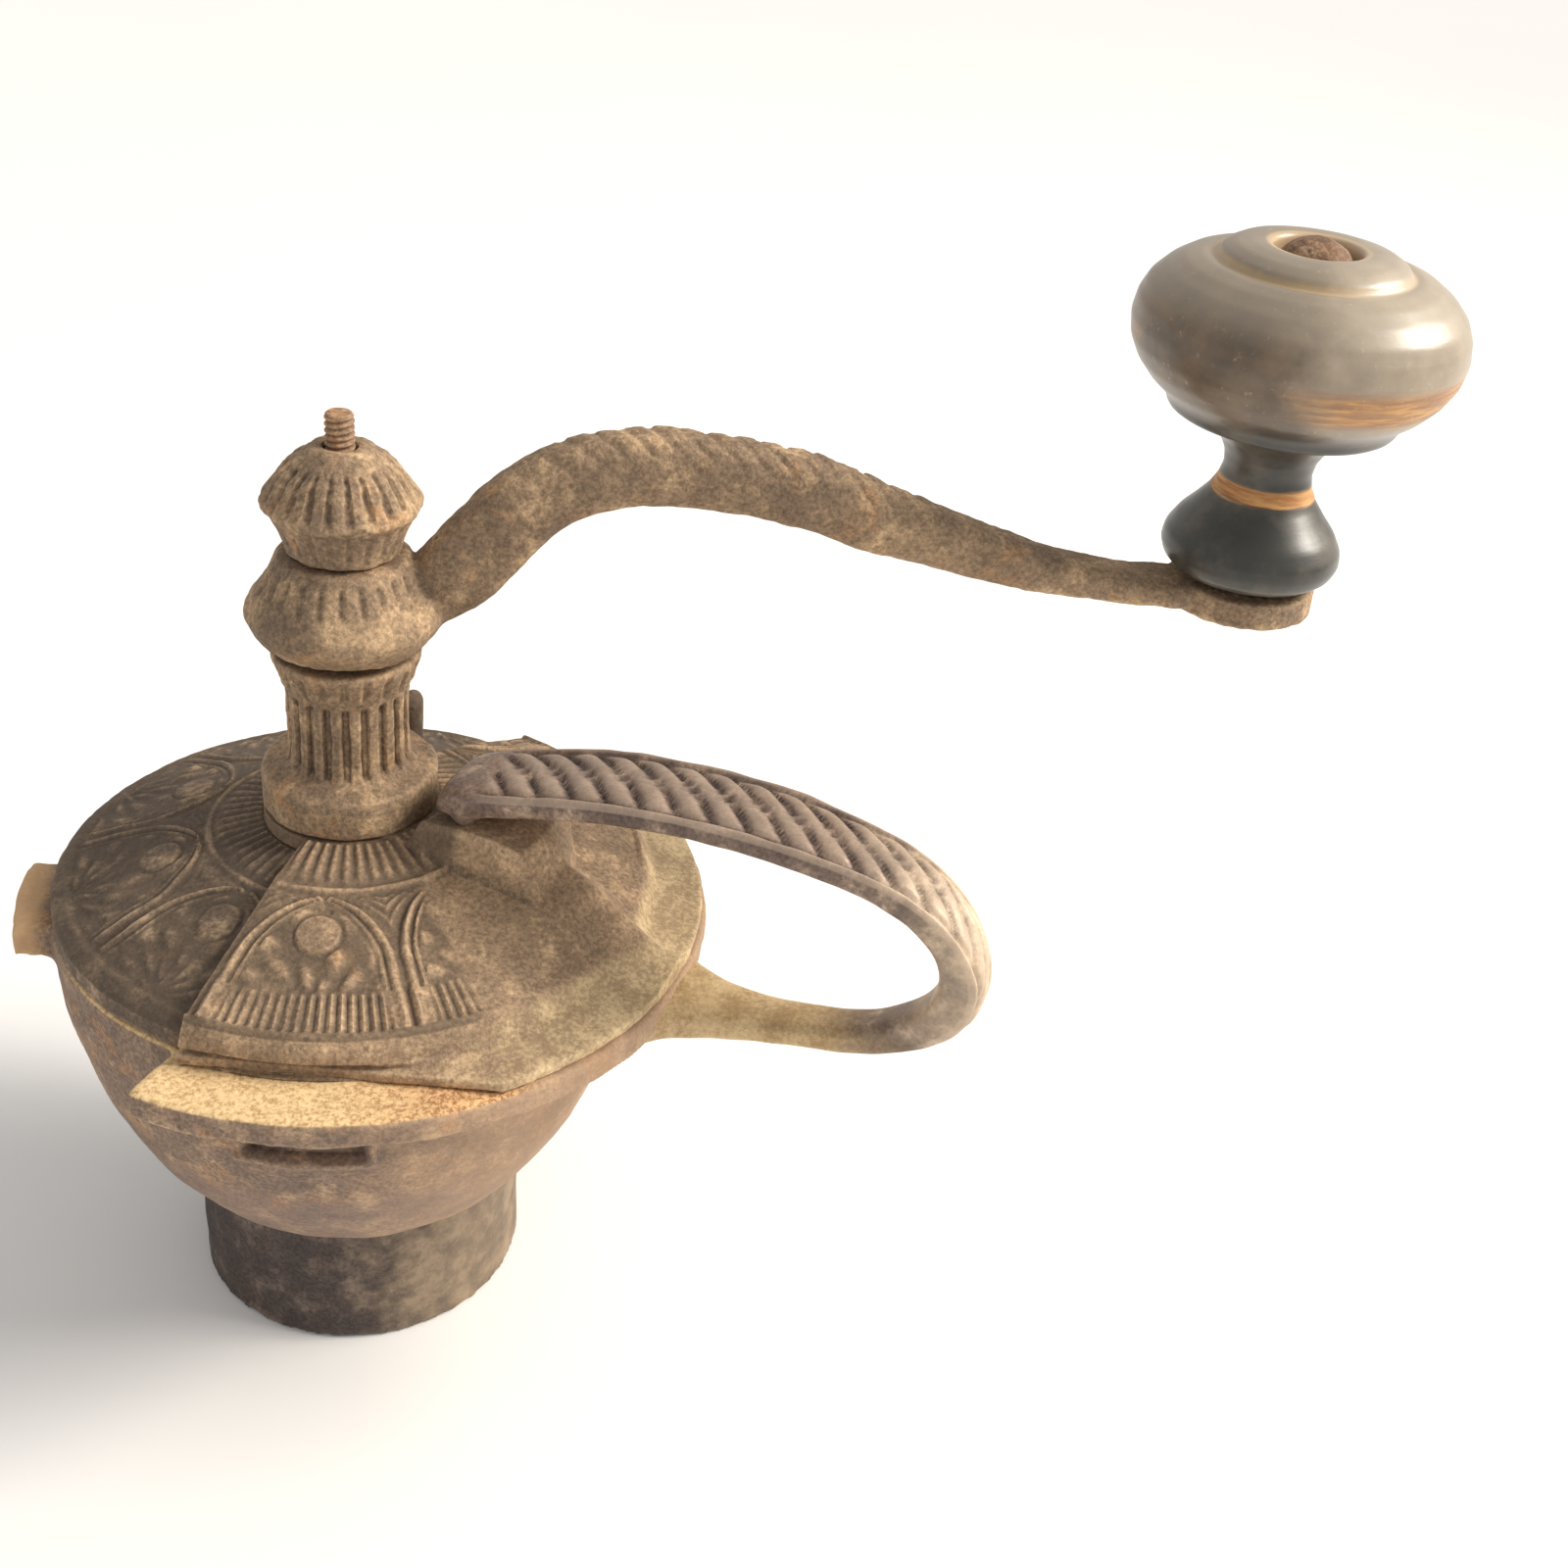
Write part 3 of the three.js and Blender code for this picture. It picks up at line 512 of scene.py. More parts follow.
BASE_Z = RIM + 0.3
DEPTH = 1.35  # how far the highest ornament stands up
spigot_r = 9.8
STEP = 0.42  # spacing of the skin's points along the radius
shell_top = [(spigot_r, COVER["top_z"]), (COVER["hub_r"], COVER["top_z"])]
shell_top += [(r, dome_z(r)) for r in (COVER["hub_r"] + (COVER["foot_r"] - COVER["hub_r"]) * i / 50
                                       for i in range(1, 51))]
cover_line = [*shell_top, (COVER["foot_r"] + 0.5, COVER["foot_z"] - 0.5), (52.6, 83.2), (57.5, 82.0),
              (60.6, 81.6),
              (60.6, BASE_Z), (52.0, BASE_Z), (50.2, BASE_Z), (50.2, 83.3), (46.9, 85.4)]
cover_line += [(r, dome_z(r) - COVER["thick"]) for r in (46.0 - (46.0 - spigot_r) * i / 20
                                                         for i in range(21))]
cover_line = walked([*cover_line, cover_line[0]], STEP, 1)[:-1]
cover = spun(cover_line, COVER["start"], COVER["end"], 0.5)
COVER_ARCH_CENTRE = -97.0
cover.normal_update()
shown = cover.verts.layers.float.new("relief")
for corner in cover.verts:
    corner[shown] = 0.5
    r, az = polar(corner.co)
    if corner.normal.z > 0.25 and r < COVER["foot_r"] + 0.4:
        edge = smooth(0.2, 1.2, math.radians(min(az - COVER["start"], COVER["end"] - az)) * r)
        on_hip = hip_height(r, az) - corner.co.z
        relief = ornament(r, az, COVER_ARCH_CENTRE) * smooth(COVER["foot_r"], COVER["foot_r"] - 1.0, r)
        relief *= smooth(3.0, -0.5, on_hip) * edge * smooth(COVER["hub_r"] + 0.2, COVER["hub_r"] + 1, r)
        covered = smooth(-68, -60, az) * smooth(12, 4, az) * smooth(24, 27, r)
        relief *= 1 - covered
        corner[shown] = 0.5 * covered + (1 - covered) * min(1.0, relief)
        foot_bead = bump(1.0, r - COVER["foot_r"] + 0.2) * 0.7
        corner.co.z += relief * DEPTH + foot_bead * (1 - smooth(-66, -58, az) * smooth(0, -8, az))
    if corner.normal.z > 0.25 or r > COVER["foot_r"] + 0.5:
        rim_share = smooth(COVER["foot_r"] + 0.6, BRIM["r"], r)
        end_tuck = 3.5 * smooth(BRIM["end"] - 4, BRIM["end"] + 9, az)
        tuck = (BRIM["r"] - brim_r(az)) * rim_share + end_tuck * rim_share
        corner.co.x *= (r - tuck) / r
        corner.co.y *= (r - tuck) / r
        r -= tuck
        if corner.normal.z > 0.25:
            lift = hip_height(r, az) - corner.co.z
            soft = HIP["blend"]
            corner.co.z += lift if lift > soft else (lift + soft) ** 2 / (4 * soft) if lift > -soft else 0
wavy(cover, 0.18, 6, 11)
wavy(cover, 0.1, 1.7, 2)
hub = spun(walked([(spigot_r, 95.7), (COVER["hub_r"], 95.7), (COVER["hub_r"], 98.4), (spigot_r, 98.4),
                   (spigot_r, 95.7)],
                  0.8, 0)[:-1], each=3)


def cover_tones(ink, place, base, grains, cloudy):
    """The ornament is darker in its hollows and paler on its high places. The brim is made paler low down on
    the right, which is painted light.
    """
    height = ink.node("Attribute", {"attribute_name": "relief"}, out="Fac")
    # The ornament's hollows are made darker and its high places paler.
    base = ink.blend((1 - height.eased(0.05, 0.4)) * 0.6, base, (0.085, 0.062, 0.045, 1))
    base = ink.blend(height.eased(0.55, 0.95) * 0.6, base, (0.64, 0.48, 0.34, 1))
    sideways = ink.node("SeparateXYZ", {}, {"Vector": place}, out="X")
    # Painted light: the brim low down on the right is made paler.
    low = (AXIS.z + 0.0868 - ink.node("SeparateXYZ", {}, {"Vector": place}, out="Z")).eased(0, 0.002)
    lit_brim = low * (sideways + cloudy * 0.03).eased(AXIS.x + 0.025, AXIS.x + 0.055)
    mottle = ink.blend((cloudy * 0.5 + grains * 0.5).eased(0.4, 0.6), (0.42, 0.3, 0.17, 1),
                     (0.72, 0.56, 0.33, 1))
    return ink.blend(lit_brim * 0.75, base, mottle)


cover_iron = rusted("ornamented_iron", (0.62, 0.44, 0.28, 1), (0.43, 0.3, 0.19, 1), (0.25, 0.175, 0.115, 1),
                    (0.45, 0.27, 0.14, 1), 0.3, 0.5, cover_tones)
seat(merged(cover, hub), "cover_casting", cover_iron, "mill_head", ["dome_cover"], angle=50)


# ------------------------------------------------------------ shutter
# The turning half that closes the hopper: the same ornament on a thinner shell that slides under
# the cover, with a rim lip that runs in the bowl's mouth and a small finger tab beside the column.
SHUTTER = {"start": 47.0, "end": 250.0, "drop": 3.3, "thick": 2.3, "r": 49.6}
SHUTTER_ARCH_CENTRE = -129.0
TAB = {"angle": 63.0, "r": 22.0, "width": 5.2, "thick": 3.6, "top": 108.0}
shutter_top = [(r, dome_z(r) - SHUTTER["drop"]) for r in (COVER["hub_r"] + (45.5 - COVER["hub_r"]) * i / 40
                                                          for i in range(41))]
shutter_line = [(spigot_r, 95.2), *shutter_top, (46.4, 84.9), (48.6, 84.2), (SHUTTER["r"], 83.2),
                (SHUTTER["r"], BASE_Z),
                (46.4, BASE_Z), (45.2, 82.0)]
shutter_line += [(r, dome_z(r) - SHUTTER["drop"] - SHUTTER["thick"])
                 for r in (43.5 - (43.5 - spigot_r) * i / 16 for i in range(17))]
shutter_line = walked([*shutter_line, shutter_line[0]], STEP, 1)[:-1]
shutter = spun(shutter_line, SHUTTER["start"], SHUTTER["end"], 0.6)
shutter.normal_update()
shown = shutter.verts.layers.float.new("relief")
for corner in shutter.verts:
    corner[shown] = 0.5
    r, az = polar(corner.co)
    if corner.normal.z > 0.25 and r > COVER["hub_r"]:
        turned_az = az % 360
        edge = smooth(0.2, 1.2, math.radians(min(turned_az - SHUTTER["start"],
                                                 SHUTTER["end"] - turned_az)) * r)
        relief = ornament(r * 1.04, az, SHUTTER_ARCH_CENTRE, 60) * edge * smooth(46.2, 45.2, r)
        corner[shown] = min(1.0, relief)
        corner.co.z += relief * DEPTH * 0.8
        corner.co.z += bump(1.1, r - 47.2) * 0.35
wavy(shutter, 0.18, 6, 21)
wavy(shutter, 0.1, 1.7, 32)
ring_line = [(spigot_r, 92.9), (COVER["hub_r"], 92.9), (COVER["hub_r"], 95.2), (spigot_r, 95.2),
             (spigot_r, 92.9)]
shutter_hub = spun(walked(ring_line, 0.8, 0)[:-1], each=3)
tab = bmesh.new()
bmesh.ops.create_uvsphere(tab, u_segments=24, v_segments=16, radius=1)
for corner in tab.verts:
    corner.co.z = corner.co.z * TAB["width"] / 2 if corner.co.z > 0 else corner.co.z * 16
tab_size = Matrix.Diagonal((TAB["width"] / 2, TAB["thick"] / 2, 1, 1))
tab_place = Matrix.Rotation(math.radians(TAB["angle"]), 4,
                            "Z") @ Matrix.Translation((TAB["r"], 0, TAB["top"] - TAB["width"] / 2))
bmesh.ops.transform(tab, matrix=tab_place @ tab_size, verts=tab.verts)
# Painted shade: the shutter gets a darker copy of the cover's rusted iron.
shaded_shutter_iron = rusted("shaded_shutter_iron", (0.4, 0.29, 0.19, 1), (0.23, 0.165, 0.115, 1), (0.11, 0.08, 0.06, 1),
                      (0.3, 0.19, 0.1, 1), 0.3, 0.5, cover_tones)
seat(merged(shutter, shutter_hub, tab), "shutter_casting", shaded_shutter_iron, "bean_shutter",
     ["shutter"], angle=50)


# ------------------------------------------------------------ fluted column
# A short classical column, cast hollow for the spindle: a drum base, a fluted shaft and a flared
# capital whose flutes open like a bell. Sandy rust all over, darker in the flutes.
COLUMN = {"shaft_r": 9.9, "base_r": 14.5, "flutes": 20, "bottom": 98.8, "top": 127.6, "flute_low": 106.8,
          "flute_high": 121.0}
column_line = [(4.4, 98.8), (9.4, 98.8), (14.3, 98.8), (14.5, 99.4), (14.5, 105.0), (14.1, 105.8),
               (12.0, 106.5), (10.6, 107.1),
               (10.0, 108.2), (9.9, 110), (9.9, 121.0), (10.3, 122.2), (10.9, 122.6), (11.2, 124.2),
               (12.1, 126.4), (12.0, 127.4),
               (11.6, 127.6), (4.4, 127.6), (4.4, 98.8)]
column = spun(walked(column_line, 0.55, 1)[:-1], each=1.5)
for corner in column.verts:
    r, az = polar(corner.co)
    z = corner.co.z
    wave = math.cos(math.radians(az) * COLUMN["flutes"])
    if r > 9:
        sunk = smooth(-0.15, 0.55, wave) * 0.95 * smooth(COLUMN["flute_low"], COLUMN["flute_low"] + 1.6, z)
        sunk *= smooth(COLUMN["flute_high"], COLUMN["flute_high"] - 1.0, z)
        sunk += smooth(0.0, 0.9, wave) * 0.5 * smooth(121.9, 122.7, z) * smooth(126.8, 125.6, z)
        corner.co.x *= (r - sunk) / r
        corner.co.y *= (r - sunk) / r
wavy(column, 0.22, 4, 41)
wavy(column, 0.12, 1.5, 42)
crank_iron = rusted("sandy_brown_iron", (0.58, 0.41, 0.25, 1), (0.38, 0.265, 0.165, 1), (0.2, 0.14, 0.095, 1),
                    (0.45, 0.26, 0.13, 1), 0.4, 0.6)
spigot = spun([(4.4, 88.0), (9.3, 88.0), (9.3, 99.2), (4.4, 99.2)], each=6)
seat(merged(column, spigot), "column_casting", crank_iron, "mill_head", ["fluted_column"],
     angle=50)


# ------------------------------------------------------------ side handle
# A flat bar bent into a loop: wide with a rope pattern between two raised edges over the cover,
# then narrowing into a plain round bend that runs back in to the flange. Dark and worn.
HANDLE = {"angle": -27.0, "flange_r": 61.8, "pin_z": 76.8, "rim_top": 98.5, "reach": 50.2, "rise": 18.8,
          "start_r": 18.0}
stations = [
    (0.10, 1.36, 7.6, 4.2), (0.14, 1.47, 8.4, 3.4), (0.37, 1.64, 9.4, 2.6), (0.65, 1.79, 9.6, 2.4),
            (0.93, 1.86, 9.3, 2.3),
    (1.19, 1.86, 8.9, 2.4), (1.43, 1.785, 8.1, 2.6), (1.66, 1.64, 7.2, 2.8), (1.82, 1.38, 6.3, 3.1),
            (1.91, 1.02, 5.4, 3.6),
    (1.92, 0.71, 4.7, 3.9), (1.86, 0.45, 4.3, 3.6), (1.745, 0.24, 4.1, 3.1), (1.6, 0.1, 4.0, 2.7),
            (1.44, 0.03, 4.1, 2.5),
    (1.28, -0.03, 4.5, 2.7), (1.13, -0.06, 5.8, 3.2), (1.0, -0.07, 8.4, 3.8), (0.93, -0.07, 11.5, 3.9)]


def along_curve(points, each):
    """Follows a smooth curve through points of any number of values, with that many steps each."""
    line = []
    padded = [points[0], *points, points[-1]]
    for before, first, second, after in zip(padded, padded[1:], padded[2:], padded[3:]):
        for i in range(each):
            t = i / each
            line.append(tuple(
                0.5 * (2 * b + (c - a) * t + (2 * a - 5 * b + 4 * c - d) * t * t
                       + (3 * b - a - 3 * c + d) * t ** 3)
                for a, b, c, d in zip(before, first, second, after)))
    line.append(points[-1])
    return line


def swept(line, section, azimuth):
    """Carries a closed section of (across, outward) points along a bar of (r, z, half width, half
    thickness) stations in an upright plane. Returns the bmesh and each ring of its points."""
    made = bmesh.new()
    made.verts.layers.float.new("relief")
    side = Vector((-math.sin(math.radians(azimuth)), math.cos(math.radians(azimuth)), 0))
    out = Vector((math.cos(math.radians(azimuth)), math.sin(math.radians(azimuth)), 0))
    rings = []
    loop = None
    for i, (r, z, half_width, half_thick) in enumerate(line):
        r0, z0 = line[max(0, i - 1)][:2]
        r1, z1 = line[min(len(line) - 1, i + 1)][:2]
        length = math.hypot(r1 - r0, z1 - z0)
        normal = out * (-(z1 - z0) / length) + Vector((0, 0, (r1 - r0) / length))
        middle = out * r + Vector((0, 0, z))
        places = [middle + side * (a * half_width) + normal * (b * half_thick) for a, b in section]
        if loop is None:
            ring = [made.verts.new(place) for place in places]
            made.faces.new(ring)
            loop = [made.edges.get(pair) for pair in zip(ring, ring[1:] + ring[:1])]
        else:
            grown = bmesh.ops.extrude_edge_only(made, edges=loop)["geom"]
            ring_edges = [item for item in grown if isinstance(item, bmesh.types.BMEdge)]
            fresh = [item for item in grown if isinstance(item, bmesh.types.BMVert)]
            ring = []
            for old in rings[-1]:
                ring.append(next(edge.other_vert(old) for edge in old.link_edges
                                 if edge.other_vert(old) in fresh))
            loop = [edge for edge in ring_edges if all(corner in ring for corner in edge.verts)]
            for corner, place in zip(ring, places):
                corner.co = place
        rings.append(ring)
    made.faces.new(rings[-1])
    bmesh.ops.recalc_face_normals(made, faces=made.faces)
    return made, rings


def handle_place(out, up, half_width, half_thick):
    if out < 1:
        r = HANDLE["start_r"] + out * (HANDLE["flange_r"] - HANDLE["start_r"])
    else:
        r = HANDLE["flange_r"] + (out - 1) * HANDLE["reach"]
    if up < 1:
        z = HANDLE["pin_z"] + up * (HANDLE["rim_top"] - HANDLE["pin_z"])
    else:
        z = HANDLE["rim_top"] + (up - 1) * HANDLE["rise"]
    return r, z, half_width, half_thick


SECTION_POINTS = 96


def rounded_section(power):
    """A rounded oblong, 1 either way from its middle."""
    turns = [2 * math.pi * i / SECTION_POINTS for i in range(SECTION_POINTS)]
    return [(math.copysign(abs(math.cos(t)) ** power, math.cos(t)),
             math.copysign(abs(math.sin(t)) ** power, math.sin(t)))
            for t in turns]


handle_line = along_curve([handle_place(*station) for station in stations], 22)
handle, rings = swept(handle_line, rounded_section(0.62), HANDLE["angle"])
travel = 0.0
shown = handle.verts.layers.float["relief"]
ROPE_PITCH = 5.8
ROPE_END = 118.0
for i, ring in enumerate(rings):
    r, z, half_width, half_thick = handle_line[i]
    if i:
        travel += math.hypot(r - handle_line[i - 1][0], z - handle_line[i - 1][1])
    centre = sum((corner.co for corner in ring), Vector()) / len(ring)
    for k, corner in enumerate(ring):
        corner[shown] = 0.5
        turn = 2 * math.pi * k / SECTION_POINTS
        outward = math.sin(turn)
        if outward < 0.25:
            continue
        across_share = math.copysign(abs(math.cos(turn)) ** 0.62, math.cos(turn))
        shown_here = smooth(4, 9, travel) * smooth(ROPE_END, ROPE_END - 14, travel)
        channel = smooth(0.9, 0.72, abs(across_share))
        lobe = travel / ROPE_PITCH + across_share * 1.5 + across_share ** 2 * 0.35
        lobe_share = (lobe % 1.0 - 0.58) / (0.58 if lobe % 1.0 < 0.58 else 0.42)
        rope = math.sqrt(max(0.0, 1 - lobe_share * lobe_share))
        fill = 1.6 * rope * smooth(0.84, 0.6, abs(across_share)) ** 0.5
        push = shown_here * (channel * (-1.55 + fill) + bump(0.16, abs(across_share) - 0.9) * 0.35)
        normal_out = (ring[SECTION_POINTS // 4].co - centre).normalized()
        corner.co += normal_out * push * min(1.0, half_width / 8)
        hollow = channel * (1 - rope * smooth(0.84, 0.7, abs(across_share)))
        corner[shown] = shown_here * (1 - hollow) + (1 - shown_here) * 0.5
wavy(handle, 0.2, 5, 51)


def handle_tones(ink, place, base, grains, cloudy):
    """The rope is darker in its hollows and has a painted highlight on its lobes; the lower arm is tan where
    it leaves the flange and near black at its far end, and the bend has a painted highlight.
    """
    axes = ink.node("SeparateXYZ", {}, {"Vector": place}, out="Z")
    sideways = ink.node("SeparateXYZ", {}, {"Vector": place}, out="X")
    low = 1 - (axes + cloudy * 0.006).eased(AXIS.z + 0.082, AXIS.z + 0.088)
    near = 1 - (sideways + cloudy * 0.03).eased(AXIS.x + 0.088, AXIS.x + 0.108)
    height = ink.node("Attribute", {"attribute_name": "relief"}, out="Fac")
    base = ink.blend((1 - height.eased(0.1, 0.45)) * 0.7, base, (0.035, 0.027, 0.026, 1))
    # Painted highlight on the rope's high lobes.
    base = ink.blend(height.eased(0.6, 1.0) * (0.2 + cloudy * 0.7), base, (0.5, 0.38, 0.29, 1))
    base = ink.blend(low * 0.75, base, (0.05, 0.042, 0.042, 1))
    tan = ink.blend((cloudy * 0.6 + grains * 0.4).eased(0.38, 0.62), (0.4, 0.26, 0.12, 1),
                    (0.68, 0.5, 0.27, 1))
    base = ink.blend(low * near * 0.9, base, tan)
    # Painted highlight on the upper bar's bend.
    bend = (1 - low) * (sideways + cloudy * 0.03).eased(AXIS.x + 0.09, AXIS.x + 0.12)
    return ink.blend(bend * (0.35 + cloudy) * 0.75, base, (0.78, 0.61, 0.43, 1))


handle_iron = rusted("hand_worn_iron", (0.5, 0.37, 0.28, 1), (0.26, 0.185, 0.145, 1), (0.11, 0.078, 0.07, 1),
                     (0.33, 0.21, 0.13, 1), 0.3, 0.3, handle_tones, 0.28)
seat(handle, "handle_bar", handle_iron, "mill_head", ["side_handle"], angle=60)


# ------------------------------------------------------------ crank arm
# One iron casting: a hub with a fluted upper cone and a round ridge, an S-curved half-round arm
# with worn rope notches along its top edge, and a flat round eye for the knob's bolt.
CRANK = {"length": 150.0, "hub_r": 15.8, "hub_low": 129.2, "hub_high": 144.2, "eye_r": 12.2,
         "eye_low": 137.7, "eye_high": 142.7}
hub_line = [(4.9, 129.2), (12.6, 129.2), (13.4, 130.0), (14.4, 131.2), (15.4, 132.8), (15.8, 134.2),
            (15.5, 135.6), (14.5, 136.6),
            (14.2, 137.4), (13.4, 138.4), (12.2, 140.4), (11.2, 142.6), (10.4, 143.9), (9.9, 144.2),
            (4.9, 144.2), (4.9, 129.2)]
hub_piece = spun(walked(hub_line, 0.5, 1)[:-1], each=1.5)
arm_path = [(12, 136.2, 4.2, 5.2), (18, 141.5, 4.5, 6.6), (25, 149.2, 4.6, 6.6), (32, 155.4, 4.6, 6.3),
            (40, 158.6, 4.7, 6.1),
            (49, 159.7, 4.7, 6.1), (60, 158.8, 4.7, 6.0), (73, 156.2, 4.7, 6.0), (86, 151.6, 4.7, 5.6),
            (100, 147.2, 4.7, 4.5),
            (113, 143.6, 4.8, 3.6), (126, 141.3, 5.2, 2.9), (139, 140.3, 6.2, 2.5), (146, 140.2, 6.6, 2.4)]
arm_line = along_curve(arm_path, 10)
arm, _ = swept(arm_line, rounded_section(0.72), 0)
eye_piece = spun(walked([(3.2, 137.7), (12.2, 137.7), (12.2, 142.7), (3.2, 142.7), (3.2, 137.7)], 0.5,
                        2)[:-1], each=3)
bmesh.ops.translate(eye_piece, vec=(CRANK["length"], 0, 0), verts=eye_piece.verts)
crank = cast(merged(hub_piece, arm, eye_piece), 0.42, 2)
NOTCH = {"start": 24.0, "end": 98.0, "pitch": 4.4}
for corner in crank.verts:
    r, az = polar(corner.co)
    x, y, z = corner.co
    if r < 15.2 and z > 137.2 and r > 8 and abs(az) > 24:
        wave = math.cos(math.radians(az) * 24)
        sunk = smooth(0.1, 0.9, wave) * 0.45 * smooth(137.6, 138.8, z) * smooth(143.2, 142, z)
        corner.co.x *= (r - sunk) / r
        corner.co.y *= (r - sunk) / r
    if NOTCH["start"] < x < NOTCH["end"]:
        here = min(arm_line, key=lambda station: abs(station[0] - x))
        edge_high = here[1] + here[3] * 0.95
        close = smooth(4.2, 1.0, edge_high - z)
        wave = math.cos(2 * math.pi * (x - (edge_high - z) * 0.8 + y * 0.5) / NOTCH["pitch"])
        faded = smooth(NOTCH["start"], NOTCH["start"] + 14, x) * smooth(NOTCH["end"], NOTCH["end"] - 8, x)
        depth = close * faded * smooth(0.1, 0.95, wave) * (0.3 + 0.25 * noise.noise(Vector((x * 0.2, 0, 7))))
        corner.co.z -= depth * 0.8
        corner.co.y -= math.copysign(depth * 0.5, y)
wavy(crank, 0.35, 7, 61)
wavy(crank, 0.16, 1.8, 62)
seat(crank, "crank_casting", crank_iron, "crank", ["crank_arm"], angle=60)


# ------------------------------------------------------------ cap nut and threaded stud
# The nut is a cast acorn in two fluted cones, with a round shoulder between them and a smooth
# ring at the top, screwed down the spindle's rusty threaded end.
NUT_FLUTES = 22
nut_line = [(2.7, 144.6), (8.4, 144.6), (8.9, 145.0), (9.6, 147.2), (10.9, 150.6), (11.6, 151.6),
            (12.4, 152.4), (12.5, 153.2),
            (11.9, 154.1), (11.2, 155.0), (10.2, 156.6), (9.3, 157.9), (9.1, 158.4), (8.2, 158.9),
            (7.7, 159.6), (6.3, 160.6),
            (5.6, 160.9), (5.2, 161.7), (4.2, 162.0), (2.7, 162.0), (2.7, 144.6)]
nut = spun(walked(nut_line, 0.45, 1)[:-1], each=1.5)
for corner in nut.verts:
    r, az = polar(corner.co)
    z = corner.co.z
    if r > 5:
        wave = math.cos(math.radians(az) * NUT_FLUTES)
        low_band = smooth(145.4, 146.4, z) * smooth(151.6, 150.8, z) * 0.3
        high_band = smooth(153.2, 154.0, z) * smooth(160.2, 158.8, z) * 0.7
        sunk = smooth(0.0, 0.9, wave) * (low_band + high_band)
        corner.co.x *= (r - sunk) / r
        corner.co.y *= (r - sunk) / r
wavy(nut, 0.3, 4, 71)
wavy(nut, 0.16, 1.4, 72)
seat(nut, "nut_casting", crank_iron, "crank", ["cap_nut"], angle=50)

THREAD = {"pitch": 1.05, "depth": 0.38, "r": 2.45, "low": 144.0, "high": 167.2}
stud_line = walked([(0, THREAD["high"]), (1.9, THREAD["high"]), (2.3, 166.8), (2.45, THREAD["low"]),
                    (0, THREAD["low"])], 0.12, 0)
stud = spun(stud_line, each=10, closed=False)
for corner in stud.verts:
    r, az = polar(corner.co)
    if r > 2 and THREAD["low"] + 0.4 < corner.co.z < THREAD["high"] - 0.3:
        wave = math.cos(2 * math.pi * (corner.co.z / THREAD["pitch"] - az / 360))
        sunk = THREAD["depth"] * (0.5 - 0.5 * wave) ** 1.5
        corner.co.x *= (r - sunk) / r
        corner.co.y *= (r - sunk) / r
square = bmesh.new()
bmesh.ops.create_cube(square, size=1)
bmesh.ops.scale(square, vec=(6.4, 6.4, 15.2), verts=square.verts)
bmesh.ops.translate(square, vec=(0, 0, 136.6), verts=square.verts)
bmesh.ops.bevel(square, geom=square.edges[:], offset=0.4, segments=2, profile=0.5, affect="EDGES",
                material=-1)
shaft_line = [(0, 12.4), (3.4, 12.4), (4.0, 13.0), (4.0, 128.6), (3.6, 129.1), (0, 129.1)]
shaft = spun(walked(shaft_line[::-1], 2.5, 0), each=7.5, closed=False)
stud_iron = rusted("rusty_stud", (0.5, 0.36, 0.24, 1), (0.34, 0.22, 0.14, 1), (0.18, 0.11, 0.075, 1),
                   (0.42, 0.22, 0.1, 1), 0.6, 0.4)
seat(merged(shaft, square, stud), "spindle_rod", stud_iron, "crank", ["spindle"], angle=35)


# ------------------------------------------------------------ knob and its bolt
# Turned hardwood under old dark green-black gloss paint, worn through to orange wood in a band at
# the neck and round the widest part, with a painted highlight on the top and right of the mushroom.
# The bolt's domed head sits in a counterbore at the top.
KNOB_X = CRANK["length"]
knob_line = [(3.3, 144.2), (10.8, 144.1), (12.6, 144.5), (14.3, 145.9), (15.0, 147.8), (14.7, 149.8),
             (13.2, 152.4), (11.0, 155.0),
             (9.0, 157.6), (7.8, 160.0), (7.3, 162.4), (7.7, 164.8), (9.0, 167.2), (11.2, 169.2),
             (13.6, 170.4), (16.6, 171.2),
             (18.6, 172.0), (19.2, 173.4), (20.2, 174.6), (22.6, 176.6), (24.8, 179.2), (26.3, 182.2),
             (26.8, 185.4), (26.3, 188.4),
             (25.0, 191.2), (22.8, 193.6), (20.0, 195.4), (17.4, 196.3), (16.0, 196.3), (15.5, 196.0),
             (15.2, 196.6), (14.6, 197.6),
             (12.6, 198.7), (10.0, 199.2), (7.6, 199.2), (6.9, 198.7), (6.8, 194.3), (3.3, 194.2),
             (3.3, 144.2)]
knob = spun(walked(knob_line, 0.55, 1)[:-1], each=2.0)
wavy(knob, 0.1, 9, 81)

knob_paint, ink = new_material("worn_gloss_paint")
place = ink.node("TexCoord", out="Object")
parts = ink.node("SeparateXYZ", {}, {"Vector": place}, out="Z")
z_mm = (parts - AXIS.z) * 1000
turned_grain = ink.node("Mapping", {}, {"Vector": place, "Scale": (1, 1, 9)})
clouds = ink.noise(place, 90, 5, 0.6)
patches = ink.noise(place, 45, 4, 0.6)
streaks = ink.noise(turned_grain, 130, 5, 0.6)
fine = ink.noise(place, 900, 3, 0.6)
paint = ink.blend(clouds.eased(0.35, 0.68), (0.05, 0.034, 0.023, 1), (0.17, 0.118, 0.075, 1))
paint = ink.blend(patches.eased(0.5, 0.72), paint, (0.22, 0.145, 0.085, 1))
wood = ink.blend(streaks.eased(0.35, 0.65), (0.4, 0.15, 0.035, 1), (0.72, 0.38, 0.13, 1))


def band(middle, half, soft):
    away = ink.maths("ABSOLUTE", z_mm + streaks * 1.6 - 0.8 - middle)
    return 1 - away.eased(half, half + soft)


